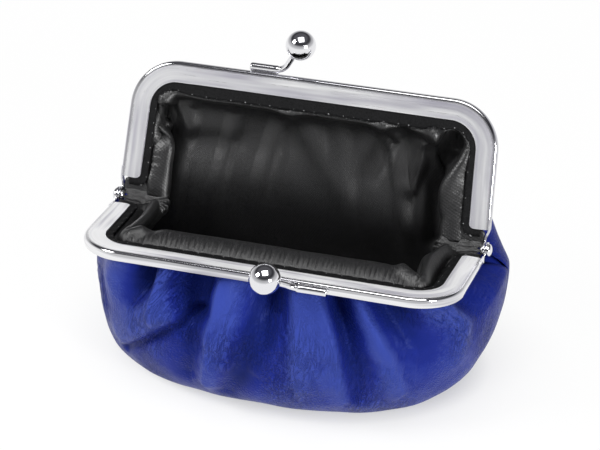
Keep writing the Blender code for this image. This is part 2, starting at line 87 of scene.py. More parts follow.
class Side(Enum):
    """The two halves of the purse, by the direction along Y that each lies in."""

    FRONT = -1
    REAR = 1

    @property
    def word(self) -> str:
        """The word that the half's pieces start with."""
        return self.name.lower()

    @property
    def panel(self) -> str:
        """The word that the half's soft panels carry."""
        return "front" if self is Side.FRONT else "back"

    @property
    def body(self) -> str:
        """The moving body that the half belongs to."""
        return f"{self.word}_half"


class Hand(Enum):
    """Left or right, by the direction along X."""

    LEFT = -1
    RIGHT = 1


def read_leans() -> dict[Side, float]:
    """How far each half leans from upright in the open pose, which is how far its joint can close.

    Returns:
        The lean of each half, in radians.
    """
    leans = {}
    for joint in frame["joints"]:
        side = Side.FRONT if joint["child"] == Side.FRONT.body else Side.REAR
        leans[side] = math.radians(max(joint["range_deg"]))
    return leans


LEANS = read_leans()
HINGE_HEIGHT = frame["joints"][0]["pos_m"][2]


def smooth(low: float, high: float, value: Grid) -> Grid:
    """A smooth step from 0 at low to 1 at high."""
    t = np.clip((value - low) / (high - low), 0, 1)
    return t * t * (3 - 2 * t)


def in_half(side: Side, across: Grid, height: Grid, depth: Grid) -> Grid:
    """Turns places in an upright half into places in the open purse.

    Args:
        side: the half.
        across: places along X.
        height: heights along the half from the hinge line.
        depth: distances away from the plane where the halves meet.

    Returns:
        Points, with their three coordinates in the last axis.
    """
    lean = LEANS[side]
    across, height, depth = np.broadcast_arrays(across, height, depth)
    y = side.value * (height * math.sin(lean) + depth * math.cos(lean))
    z = HINGE_HEIGHT + height * math.cos(lean) - depth * math.sin(lean)
    return np.stack((across, y, z), axis=-1)


def heading(side: Side, depth: float = 1.0) -> Grid:
    """The direction in the open purse that leads away from a half's meeting plane, or with -1 towards it."""
    return in_half(side, 0.0, 0.0, depth) - in_half(side, 0.0, 0.0, 0.0)


def way_along(line: Grid) -> Grid:
    """The way along a line of points from its first point to each of them."""
    return np.concatenate(((0.0,), np.cumsum(np.linalg.norm(np.diff(line, axis=0), axis=1))))


def gone_along(points: Grid) -> Grid:
    """The way from the first row of points to each row, as the mean over the columns."""
    steps = np.linalg.norm(np.diff(points, axis=0), axis=2).mean(axis=1)
    return np.concatenate(((0.0,), np.cumsum(steps)))


def lay_grid(points: Grid, ring: bool = False, flip: bool = False) -> Mesh:
    """Lays a grid of faces on rows of points, with a UV map named surface that measures it in metres.

    Args:
        points: rows by columns by three coordinates.
        ring: whether the last row lies on the first one and is welded to it.
        flip: whether the faces are turned over.

    Returns:
        The new mesh in edit form.
    """
    rows, columns = points.shape[:2]
    across, down = gone_along(points.transpose(1, 0, 2)), gone_along(points)
    bm = bmesh.new()
    bmesh.ops.create_grid(bm, x_segments=columns - 1, y_segments=rows - 1, size=1)
    bm.verts.ensure_lookup_table()
    layer = bm.loops.layers.uv.new("surface")
    for face in bm.faces:
        for loop in face.loops:
            row, column = divmod(loop.vert.index, columns)
            loop[layer].uv = (across[column], down[row])
    for vert, place in zip(bm.verts, points.reshape(-1, 3)):
        vert.co = place
    if ring:
        bmesh.ops.remove_doubles(bm, verts=bm.verts, dist=WELD)
    if flip:
        bmesh.ops.reverse_faces(bm, faces=bm.faces)
    return bm


def close_solid(bm: Mesh) -> Mesh:
    """Fills the open ends of a swept shape and points its faces outwards.

    Args:
        bm: the swept shape.

    Returns:
        The same mesh, closed.
    """
    edges = [edge for edge in bm.edges if edge.is_boundary]
    bmesh.ops.holes_fill(bm, edges=edges, sides=0)
    bmesh.ops.recalc_face_normals(bm, faces=bm.faces)
    return bm


def sweep_tube(path: Grid, radii: Grid, segments: int, across: Sequence[float]) -> Mesh:
    """A closed round rod along a path.

    Args:
        path: the points that the rod follows.
        radii: its radius at each point.
        segments: how many sides it has.
        across: a direction that is never parallel to the path.

    Returns:
        The rod, with both ends closed.
    """
    tangent = np.gradient(path, axis=0)
    tangent /= np.linalg.norm(tangent, axis=1, keepdims=True)
    first = np.cross(tangent, np.array(across))
    first /= np.linalg.norm(first, axis=1, keepdims=True)
    second = np.cross(tangent, first)
    angles = np.linspace(0, 2 * math.pi, segments + 1)[:, None, None]
    rings = path + radii[:, None] * (np.cos(angles) * first + np.sin(angles) * second)
    return close_solid(lay_grid(rings, ring=True))


def spin_solid(profile: Sequence[Pair], segments: int) -> Mesh:
    """Turns a profile about the X axis into a closed solid.

    Args:
        profile: points (radius, place along X), the first and the last on the axis.
        segments: how many sides the solid has.

    Returns:
        The new mesh in edit form.
    """
    bm = bmesh.new()
    verts = [bm.verts.new((along, 0, radius)) for radius, along in profile]
    edges = [bm.edges.new(pair) for pair in zip(verts, verts[1:])]
    bmesh.ops.spin(bm, geom=verts + edges, cent=(0, 0, 0), axis=(1, 0, 0), dvec=(0, 0, 0), angle=2 * math.pi,
                   steps=segments, use_merge=True, use_duplicate=False)
    bmesh.ops.remove_doubles(bm, verts=bm.verts, dist=WELD)
    bmesh.ops.recalc_face_normals(bm, faces=bm.faces)
    return bm


def joined(parts: Sequence[Mesh]) -> Mesh:
    """Puts several shapes into one mesh, each as it is.

    Args:
        parts: the shapes, which are freed.

    Returns:
        The mesh with all of them.
    """
    whole = bmesh.new()
    for part in parts:
        mesh = bpy.data.meshes.new("part")
        part.to_mesh(mesh)
        part.free()
        whole.from_mesh(mesh)
        bpy.data.meshes.remove(mesh)
    return whole


def make_object(name: str, bm: Mesh, material: bpy.types.Material) -> bpy.types.Object:
    """Makes an object of a mesh in edit form and links it to the scene.

    Args:
        name: the object's name, and its mesh's.
        bm: the mesh, which is freed.
        material: its finish.

    Returns:
        The new object, at the origin.
    """
    mesh = bpy.data.meshes.new(name)
    bm.to_mesh(mesh)
    bm.free()
    mesh.materials.append(material)
    thing = bpy.data.objects.new(name, mesh)
    bpy.context.scene.collection.objects.link(thing)
    return thing


def make_piece(name: str, bm: Mesh, material: bpy.types.Material,
               sharp: float = 40) -> bpy.types.Object:
    """Makes a finished piece of a mesh in edit form.

    Args:
        name: the piece's name.
        bm: the mesh, which is freed.
        material: its finish.
        sharp: the angle between faces, in degrees, from which an edge stays sharp.

    Returns:
        The new object, at the origin.
    """
    piece = make_object(name, bm, material)
    piece.data.shade_smooth()
    piece.data.set_sharp_from_angle(angle=math.radians(sharp))
    log.info("%s: %d faces", name, len(piece.data.polygons))
    return piece


def thicken(piece: bpy.types.Object, thickness: float) -> None:
    """Gives a sheet its thickness, away from the side that its faces point to.

    Args:
        piece: the sheet.
        thickness: how thick it gets.
    """
    wall = piece.modifiers.new("thickness", "SOLIDIFY")
    wall.thickness = thickness
    wall.offset = -1
    wall.thickness_clamp = 1.0


class Nodes:
    """A short way to write a node tree."""

    def __init__(self, tree: bpy.types.NodeTree) -> None:
        """Takes the tree that the nodes are added to."""
        self.tree = tree

    def add(self, kind: str, **settings: object) -> bpy.types.Node:
        """Adds a node and sets its properties and its unlinked inputs.

        Args:
            kind: the node's type, without its ShaderNode prefix.
            settings: properties by name, and inputs by name with spaces written as underscores. An input's
                value is a number, a tuple, or a socket to link from.

        Returns:
            The new node.
        """
        node = self.tree.nodes.new(f"ShaderNode{kind}")
        inputs = {socket.name.replace(" ", "_"): socket for socket in reversed(node.inputs)}
        for key, value in settings.items():
            if key in inputs:
                self.put(inputs[key], value)
            else:
                setattr(node, key, value)
        return node

    def put(self, socket: Socket, value: object) -> None:
        """Links a socket to another socket, or sets its value.

        Args:
            socket: the input.
            value: the socket to link from, or the value.
        """
        if isinstance(value, Socket):
            self.tree.links.new(value, socket)
        else:
            socket.default_value = value

    def math(self, operation: str, first: object, second: object = 0.0) -> Socket:
        """Adds a sum of two numbers or sockets.

        Args:
            operation: the sum's name, as Blender has it.
            first: a number or a socket.
            second: another one, where the sum needs two.

        Returns:
            The socket with the result.
        """
        node = self.add("Math", operation=operation)
        self.put(node.inputs[0], first)
        self.put(node.inputs[1], second)
        return node.outputs[0]

    def place(self, scale: Triple, turn: Triple = (0, 0, 0), uv: bool = False) -> Socket:
        """Adds the piece's own coordinates or its UV map, turned and then scaled.

        Args:
            scale: what each coordinate is multiplied by.
            turn: the angles about X, Y and Z that come first.
            uv: whether the UV map is taken.

        Returns:
            The socket with the coordinates.
        """
        if uv:
            source = self.add("UVMap", uv_map="surface").outputs["UV"]
        else:
            source = self.add("TexCoord").outputs["Object"]
        turned = self.add("Mapping", vector_type="POINT", Vector=source, Rotation=turn).outputs["Vector"]
        return self.add("Mapping", vector_type="POINT", Vector=turned, Scale=scale).outputs["Vector"]

    def ramp(self, factor: Socket, stops: Sequence[tuple[float, Triple]]) -> Socket:
        """Adds a colour that runs through stops.

        Args:
            factor: where on the ramp each point lies.
            stops: pairs of a place and a colour.

        Returns:
            The socket with the colour.
        """
        node = self.add("ValToRGB", Fac=factor)
        elements = node.color_ramp.elements
        while len(elements) < len(stops):
            elements.new(0.5)
        for element, (place, colour) in zip(elements, stops):
            element.position = place
            element.color = (*colour, 1)
        return node.outputs["Color"]

    def bump(self, height: Socket, distance: float, strength: float = 1.0,
             under: Socket | None = None) -> Socket:
        """Adds a bumped normal, on top of another one where there is one.

        Args:
            height: the relief, from 0 to 1.
            distance: what a height of 1 measures.
            strength: the share of the relief that shows.
            under: the normal under it.

        Returns:
            The socket with the normal.
        """
        node = self.add("Bump", Height=height, Distance=distance, Strength=strength)
        if under is not None:
            self.put(node.inputs["Normal"], under)
        return node.outputs["Normal"]

    def noise(self, vector: Socket, detail: float, **settings: object) -> Socket:
        """Adds a noise whose scale is in its coordinates."""
        return self.add("TexNoise", Vector=vector, Scale=1.0, Detail=detail, **settings).outputs["Fac"]

    def spread(self, value: Socket, start: Pair, end: Pair = (0.0, 1.0)) -> Socket:
        """Adds a mapping of one range of values to another one.

        Args:
            value: the socket with the values.
            start: the range that they come from, low and high.
            end: the range that they go to, low and high.

        Returns:
            The socket with the mapped values.
        """
        node = self.add("MapRange", Value=value, From_Min=start[0], From_Max=start[1], To_Min=end[0],
                        To_Max=end[1])
        return node.outputs["Result"]


class MaterialNodes(Nodes):
    """The node tree of a new material, with its shader and its output."""

    def __init__(self, name: str) -> None:
        """Starts a material.

        Args:
            name: the material's name.
        """
        self.material = bpy.data.materials.new(name)
        self.material.use_nodes = True
        super().__init__(self.material.node_tree)
        self.shader = self.tree.nodes["Principled BSDF"]
        self.output = self.tree.nodes["Material Output"]


@dataclass(frozen=True)
class Chrome:
    """Polished chrome plate, with the faint streaks of the polishing wheel and of handling."""

    name: str
    colour: Triple = (0.80, 0.80, 0.82)
    roughness: Pair = (0.06, 0.13)
    streak_scale: Triple = (60, 900, 900)
    mark_scale: Triple = (350, 350, 350)
    streak_range: Pair = (0.12, 0.45)
    satin: float = 0.0
    satin_width: float = 5.0 * MM
    satin_edge_share: float = 0.85
    brush_scale: Triple = (40, 5200, 1)
    haze: float = 0.50
    # The satin band's colour clouds: random streaks painted darker and lighter to stand in for reflections.
    cloud_scale: Triple = (28, 420, 1)
    cloud: Triple = (0.40, 0.39, 0.45)
    bright: Triple = (0.80, 0.80, 0.80)
    cloud_places: Triple = (0.30, 0.52, 0.72)
    dent_scale: Triple = (90, 90, 90)
    dent_depth: float = 0.02 * MM
    dent_strength: float = 0.6

    def material(self) -> bpy.types.Material:
        """Makes the finish, with a satin band along the start of the UV map where it has one, its colour
        painted with darker and lighter streaks that stand in for reflections.

        Returns:
            The material.
        """
        nodes = MaterialNodes(self.name)
        nodes.shader.inputs["Base Color"].default_value = (*self.colour, 1)
        nodes.shader.inputs["Metallic"].default_value = 1.0
        streaks = nodes.noise(nodes.place(self.streak_scale), 4.0)
        marks = nodes.noise(nodes.place(self.mark_scale), 2.0)
        rough = nodes.spread(nodes.math("MULTIPLY", streaks, marks), self.streak_range, self.roughness)
        if self.satin:
            brushed = nodes.noise(nodes.place(self.brush_scale, uv=True), 3.0)
            down = nodes.add("SeparateXYZ", Vector=nodes.place((1, 1, 1), uv=True)).outputs["Y"]
            flat = nodes.spread(down, (self.satin_width, self.satin_width * self.satin_edge_share))
            grooves = nodes.math("MULTIPLY", brushed, self.satin)
            rough = nodes.math("ADD", rough, nodes.math("MULTIPLY", grooves, flat))
            metal = nodes.math("SUBTRACT", 1.0, nodes.math("MULTIPLY", flat, self.haze))
            nodes.put(nodes.shader.inputs["Metallic"], metal)
            # Painted reflections: the satin band's colour runs through darker and lighter random streaks.
            clouds = nodes.noise(nodes.place(self.cloud_scale, uv=True), 2.0)
            tints = zip(self.cloud_places, (self.cloud, self.colour, self.bright))
            nodes.put(nodes.shader.inputs["Base Color"], nodes.ramp(clouds, tuple(tints)))
        nodes.put(nodes.shader.inputs["Roughness"], rough)
        dents = nodes.noise(nodes.place(self.dent_scale), 1.0)
        nodes.put(nodes.shader.inputs["Normal"], nodes.bump(dents, self.dent_depth, self.dent_strength))
        return nodes.material


@dataclass(frozen=True)
class Leather:
    """Soft nappa leather with a fine pebbled grain, creases between the pebbles and a slight wax sheen."""

    # Tones from dark to light: the ramp paints shade into the fold hollows, the wrinkles and the creases, and
    # light onto the ridges, over a random broad tone and the grain.
    hollow: Triple = (0.004, 0.010, 0.085)
    deep: Triple = (0.007, 0.015, 0.152)
    middle: Triple = (0.009, 0.018, 0.182)
    worn: Triple = (0.030, 0.050, 0.265)
    tone_places: tuple[float, ...] = (0.19, 0.34, 0.42, 0.57)
    broad_weight: float = 0.35
    crease_weight: float = 0.14
    relief_weight: float = 0.35
    wrinkle_weight: float = 0.06
    grain_weight: float = 0.07
    grain: float = 1.05 * MM
    grain_depth: float = 0.17 * MM
    grain_warp: float = 0.9
    warp_width: float = 3
    pebble_edge: float = 0.28
    patch_scale: Triple = (55, 70, 60)
    patch_range: Pair = (0.42, 0.62)
    smooth_share: float = 0.15
    crease_scale: Triple = (420, 420, 420)
    crease_depth: float = 0.16 * MM
    broad_scale: Triple = (38, 38, 38)
    wrinkle_scale: Triple = (900, 230, 1)
    wrinkle_turn: float = 0.16
    wrinkle_width: float = 0.07
    wrinkle_depth: float = 0.28 * MM
    pull_scale: Triple = (46, 30, 1)
    pull_range: Pair = (0.44, 0.60)
    roughness: Pair = (0.42, 0.30)
    specular: float = 0.10
    specular_tint: Triple = (0.40, 0.52, 1)
    sheen: float = 0.02
    sheen_roughness: float = 0.4
    sheen_tint: Triple = (0.55, 0.62, 1)

    def pebbles(self, nodes: MaterialNodes) -> Socket:
        """Adds the grain's pebbles, which are flatter in patches.

        Args:
            nodes: the material's tree.

        Returns:
            The socket with their height.
        """
        size = 1 / self.grain
        wide = size / self.warp_width
        warp = nodes.add("TexNoise", Vector=nodes.place((wide, wide, wide)), Scale=1.0, Detail=2.0)
        warped = nodes.add("MixRGB", blend_type="ADD", Fac=self.grain_warp,
                           Color1=nodes.place((size, size, size)), Color2=warp.outputs["Color"])
        cells = nodes.add("TexVoronoi", Vector=warped.outputs["Color"], Scale=1.0, feature="DISTANCE_TO_EDGE")
        pebble = nodes.spread(cells.outputs["Distance"], (0.0, self.pebble_edge))
        patch = nodes.noise(nodes.place(self.patch_scale), 2.0)
        return nodes.math("MULTIPLY", pebble, nodes.spread(patch, self.patch_range, (self.smooth_share, 1.0)))

    def wrinkles(self, nodes: MaterialNodes) -> Socket:
        """Adds the fine wrinkles that the gathers pull into the leather, in patches.

        Args:
            nodes: the material's tree.

        Returns:
            The socket with their depth, from -1 in a wrinkle to 0 beside it.
        """
        along = nodes.place(self.wrinkle_scale, (0, 0, self.wrinkle_turn), uv=True)
        drawn = nodes.noise(along, 4.0, Roughness=0.6, Distortion=0.8)
        lines = nodes.math("ABSOLUTE", nodes.math("SUBTRACT", drawn, 0.5))
        wrinkle = nodes.spread(lines, (0.0, self.wrinkle_width))
        pulled = nodes.noise(nodes.place(self.pull_scale, uv=True), 1.0)
        where = nodes.spread(pulled, self.pull_range)
        return nodes.math("MULTIPLY", nodes.math("SUBTRACT", wrinkle, 1.0), where)

    def material(self) -> bpy.types.Material:
        """Makes the finish, with painted shade in the hollows and painted light on the ridges that a piece's
        relief attribute tells of.

        Returns:
            The material.
        """
        nodes = MaterialNodes("blue_leather")
        height = self.pebbles(nodes)
        shown = self.wrinkles(nodes)
        creases = nodes.noise(nodes.place(self.crease_scale), 6.0, Roughness=0.62)
        broad = nodes.noise(nodes.place(self.broad_scale), 3.0)
        fine = nodes.bump(creases, self.crease_depth, 0.7)
        grain = nodes.bump(height, self.grain_depth, 0.9, fine)
        nodes.put(nodes.shader.inputs["Normal"], nodes.bump(shown, self.wrinkle_depth, 0.9, grain))
        relief = nodes.add("Attribute", attribute_name="relief", attribute_type="GEOMETRY").outputs["Fac"]
        # Painted shade and light: the folds' relief, the creases and the wrinkles darken the colour where the
        # leather lies low and lighten it on the ridges.
        tone = nodes.math("MULTIPLY", broad, self.broad_weight)
        for part, weight in ((creases, self.crease_weight), (relief, self.relief_weight),
                             (shown, self.wrinkle_weight), (height, self.grain_weight)):
            tone = nodes.math("ADD", tone, nodes.math("MULTIPLY", part, weight))
        tints = (self.hollow, self.deep, self.middle, self.worn)
        nodes.put(nodes.shader.inputs["Base Color"], nodes.ramp(tone, tuple(zip(self.tone_places, tints))))
        nodes.put(nodes.shader.inputs["Roughness"], nodes.spread(creases, (0.3, 0.7), self.roughness))
        nodes.shader.inputs["Specular IOR Level"].default_value = self.specular
        nodes.shader.inputs["Specular Tint"].default_value = (*self.specular_tint, 1)
        nodes.shader.inputs["Sheen Weight"].default_value = self.sheen
        nodes.shader.inputs["Sheen Roughness"].default_value = self.sheen_roughness
        nodes.shader.inputs["Sheen Tint"].default_value = (*self.sheen_tint, 1)
        return nodes.material


class Weave(Enum):
    """How a black cloth is woven, by the share that the crossing threads have in its relief."""

    TWILL = 0.7
    PLAIN = 0.9


@dataclass(frozen=True)
class BlackCloth:
    """Black cloth whose weave follows the piece's UV map."""

    name: str
    weave: Weave
    colour: Triple = (0.002, 0.002, 0.002)
    thread_colour: Triple = (0.017, 0.017, 0.018)
    pitch: float = 0.42 * MM
    roughness: float = 0.36
    specular: float = 0.72
    twill_turn: float = math.radians(38)
    relief: float = 0.04 * MM
    slub_scale: Triple = (3000, 3000, 3000)
    slub_range: Pair = (0.30, 0.70)
    least_shine: float = 0.20
    sheen: float = 0.01
    sheen_roughness: float = 0.35

    def threads(self, nodes: MaterialNodes, direction: str, scale: float, distortion: float) -> Socket:
        """Adds one of the weave's two sets of threads.

        Args:
            nodes: the material's tree.
            direction: the axis of the UV map that the threads follow each other along.
            scale: how many of them there are for each one of the pitch.
            distortion: how uneven they are.

        Returns:
            The socket with their height.
        """
        size = 2 * math.pi / self.pitch / WAVE_RADIANS
        turn = self.twill_turn if self.weave is Weave.TWILL else 0.0
        wave = nodes.add("TexWave", Vector=nodes.place((size, size, size), (0, 0, turn), uv=True),
                         wave_type="BANDS", bands_direction=direction, Scale=scale, Distortion=distortion,
                         Detail=1.0, Detail_Scale=2.0)
        return wave.outputs["Fac"]

    def material(self) -> bpy.types.Material:
        """Makes the finish.

        Returns:
            The material.
        """
        nodes = MaterialNodes(self.name)
        first = self.threads(nodes, "X", 1.0, 0.6)
        second = nodes.math("MULTIPLY", self.threads(nodes, "Y", 1.35, 0.4), self.weave.value)
        slub = nodes.noise(nodes.place(self.slub_scale), 1.0)
        uneven = nodes.math("ADD", nodes.spread(slub, self.slub_range), self.least_shine)
        tone = nodes.math("MULTIPLY", nodes.math("ADD", first, second), uneven)
        nodes.put(nodes.shader.inputs["Base Color"],
                  nodes.ramp(tone, ((0.20, self.colour), (1.00, self.thread_colour))))
        nodes.put(nodes.shader.inputs["Normal"], nodes.bump(tone, self.relief, 0.7))
        nodes.shader.inputs["Roughness"].default_value = self.roughness
        nodes.shader.inputs["Specular IOR Level"].default_value = self.specular
        nodes.shader.inputs["Sheen Weight"].default_value = self.sheen
        nodes.shader.inputs["Sheen Roughness"].default_value = self.sheen_roughness
        return nodes.material


@dataclass(frozen=True)
class Twist:
    """Twisted thread or paper cord, with its turns along one direction."""

    name: str
    colour: Triple
    shade: Triple
    turn_length: float
    roughness: float
    lay: float = math.radians(35)
    relief: float = 0.04 * MM

    def material(self) -> bpy.types.Material:
        """Makes the finish.

        Returns:
            The material.
        """
        nodes = MaterialNodes(self.name)
        size = 2 * math.pi / self.turn_length / WAVE_RADIANS
        place = nodes.place((size, size, size), (0, 0, self.lay))
        wave = nodes.add("TexWave", Vector=place, wave_type="BANDS", bands_direction="DIAGONAL", Scale=1.0,
                         Distortion=1.0, Detail=1.0)
        turns = wave.outputs["Fac"]
        colour = nodes.ramp(turns, ((0.0, self.shade), (1.0, self.colour)))
        nodes.put(nodes.shader.inputs["Base Color"], colour)
        nodes.put(nodes.shader.inputs["Normal"], nodes.bump(turns, self.relief, 0.7))
        nodes.shader.inputs["Roughness"].default_value = self.roughness
        return nodes.material


CHROME = Chrome("chrome")
# Painted light and shade: the front half's chrome is lighter and more diffuse and the rear half's darker, as
# lit and shaded copies of one chrome.
FRONT_CHROME_PAINTED_LIGHT = Chrome("front_chrome", colour=(0.86, 0.86, 0.87), satin=0.75, haze=0.85)
REAR_CHROME_PAINTED_SHADE = Chrome("rear_chrome", colour=(0.60, 0.60, 0.62), satin=0.60, haze=0.34)
TWILL = BlackCloth("black_twill", Weave.TWILL)
FACING_CLOTH = BlackCloth("black_facing", Weave.PLAIN, thread_colour=(0.009, 0.009, 0.010), pitch=0.34 * MM,
                          roughness=0.7, specular=0.15)
# The black thread is painted light grey, a painted highlight that stands in for the glints along the gathers.
THREAD = Twist("black_thread", (0.26, 0.26, 0.265), (0.07, 0.07, 0.072), 0.5 * MM, 0.35)
PAPER_CORD = Twist("paper_cord", (0.60, 0.51, 0.39), (0.34, 0.27, 0.18), 1.4 * MM, 0.9)


@dataclass(frozen=True)
class Finishes:
    """Every finish of the purse, as materials. The two halves' channels are one chrome in two copies, the front
    one painted lighter and the rear one painted darker to stand in for light and shade.
    """

    chrome: bpy.types.Material = field(default_factory=CHROME.material)
    front_chrome: bpy.types.Material = field(default_factory=FRONT_CHROME_PAINTED_LIGHT.material)
    rear_chrome: bpy.types.Material = field(default_factory=REAR_CHROME_PAINTED_SHADE.material)
    leather: bpy.types.Material = field(default_factory=Leather().material)
    twill: bpy.types.Material = field(default_factory=TWILL.material)
    facing: bpy.types.Material = field(default_factory=FACING_CLOTH.material)
    thread: bpy.types.Material = field(default_factory=THREAD.material)
    paper: bpy.types.Material = field(default_factory=PAPER_CORD.material)


@dataclass(frozen=True)
class Steps:
    """How many steps the frame's outline takes along a leg, round a corner and along the rail."""

    legs: int
    corners: int
    rail: int


@dataclass(frozen=True)
class FrameShape:
    """The outline and the channel of one half of the frame. Both halves are the same bending."""

    hinge_half_width: float = 53.0 * MM
    rail_half_width: float = 51.5 * MM
    height: float = 39.4 * MM
    corner_radius: float = 13.5 * MM
    channel_height: float = 5.9 * MM
    channel_depth: float = 2.9 * MM
    sheet: float = 0.55 * MM
    bend_radius: float = 0.8 * MM
    crown: float = 0.11 * MM
    flange_start: float = 5.5 * MM
    flange_end_radius: float = 1.6 * MM
    mating_clearance: float = 0.2 * MM

    def line(self, start: float | Grid, steps: Steps) -> tuple[Grid, Grid]:
        """The frame's outside line, from the right leg's foot to the left leg's.

        Args:
            start: how far up the legs the line starts.
            steps: how finely it is divided.

        Returns:
            Points (x, height), and at each the unit direction into the frame.
        """
        taper = math.atan2(self.hinge_half_width - self.rail_half_width, self.height)
        outward = np.array((math.cos(taper), math.sin(taper)))
        along = np.array((-math.sin(taper), math.cos(taper)))
        hinge = np.array((self.hinge_half_width, 0.0))
        centre_height = self.height - self.corner_radius
        centre = hinge + along * (centre_height - self.corner_radius * outward[1]) / along[1]
        centre = np.array((centre[0] - outward[0] * self.corner_radius, centre_height))
        foot = hinge + along * start
        top = centre + outward * self.corner_radius
        legs = foot + (top - foot) * np.linspace(0, 1, steps.legs + 1)[:, None]
        angles = np.linspace(taper, RIGHT_ANGLE, steps.corners + 1)[1:]
        spokes = np.stack((np.cos(angles), np.sin(angles)), axis=1)
        right = np.vstack((legs, centre + spokes * self.corner_radius))
        right_in = -np.vstack((np.tile(outward, (steps.legs + 1, 1)), spokes))
        rail_x = np.linspace(right[-1, 0], -right[-1, 0], steps.rail + 1)[1:-1]
        rail = np.stack((rail_x, np.full_like(rail_x, self.height)), axis=1)
        mirror = np.array((-1.0, 1.0))
        points = np.vstack((right, rail, right[::-1] * mirror))
        inward = np.vstack((right_in, np.tile((0.0, -1.0), (len(rail), 1)), right_in[::-1] * mirror))
        return points, inward

    def rim(self, side: Side, inset: float | Grid, start: float, depth: float | Grid, steps: Steps) -> Grid:
        """A line round one half in the open purse.

        Args:
            side: the half.
            inset: how far inside the frame's outside line it runs.
            start: how far up the legs it starts.
            depth: its distance from the plane where the halves meet.
            steps: how finely it is divided.

        Returns:
            The line's points.
        """
        points, inward = self.line(start, steps)
        flat = points + inward * np.broadcast_to(inset, len(points))[:, None]
        return in_half(side, flat[:, 0], flat[:, 1], depth)

    def shares(self, inset: float, start: float, steps: Steps) -> Grid:
        """How far along a rim line each of its points lies.

        Args:
            inset: how far inside the frame's outside line it runs.
            start: how far up the legs it starts.
            steps: how finely it is divided.

        Returns:
            A share for each point, from 0 at the right foot to 1 at the left.
        """
        points, inward = self.line(start, steps)
        lengths = way_along(points + inward * inset)
        return lengths / lengths[-1]

    def section(self) -> list[Pair]:
        """The channel's cut end, with rounded bends and edges and crowned faces.

        Returns:
            A loop of points (inset, depth) whose last one repeats the first.
        """
        face, back = self.mating_clearance, self.mating_clearance + self.channel_depth
        bend, inner_bend = self.bend_radius, self.bend_radius - self.sheet
        edge = self.sheet / 2
        loop = []

        def straight(first: Pair, last: Pair, count: int, bulge: Pair) -> None:
            """Adds a nearly straight stretch to the loop.

            Args:
                first: its first point.
                last: the point that it stops short of.
                count: how many points it has.
                bulge: how far its middle is arched.
            """
            for share in np.linspace(0, 1, count, endpoint=False):
                arch = math.sin(math.pi * share)
                loop.append(tuple(a + (b - a) * share + c * arch for a, b, c in zip(first, last, bulge)))

        def arc(centre: Pair, radius: float, first: float, last: float, count: int) -> None:
            """Adds a round stretch to the loop.

            Args:
                centre: its centre.
                radius: its radius.
                first: the angle that it starts at, in degrees.
                last: the angle that it stops short of.
                count: how many points it has.
            """
            for angle in np.radians(np.linspace(first, last, count, endpoint=False)):
                loop.append((centre[0] + radius * math.cos(angle), centre[1] + radius * math.sin(angle)))

        tall = self.channel_height - edge
        straight((tall, face), (bend, face), 10, (0, -self.crown))
        arc((bend, face + bend), bend, 270, 180, 7)
        straight((0, face + bend), (0, back - bend), 6, (-self.crown, 0))
        arc((bend, back - bend), bend, 180, 90, 7)
        straight((bend, back), (tall, back), 8, (0, self.crown))
        arc((tall, back - edge), edge, 90, -90, 5)
        straight((tall, back - self.sheet), (bend, back - self.sheet), 5, (0, self.crown))
        arc((bend, back - bend), inner_bend, 90, 180, 4)
        straight((self.sheet, back - bend), (self.sheet, face + bend), 4, (-self.crown, 0))
        arc((bend, face + bend), inner_bend, 180, 270, 4)
        straight((bend, face + self.sheet), (tall, face + self.sheet), 8, (0, -self.crown))
        arc((tall, face + edge), edge, 90, -90, 5)
        return loop + loop[:1]


FRAME_SHAPE = FrameShape()


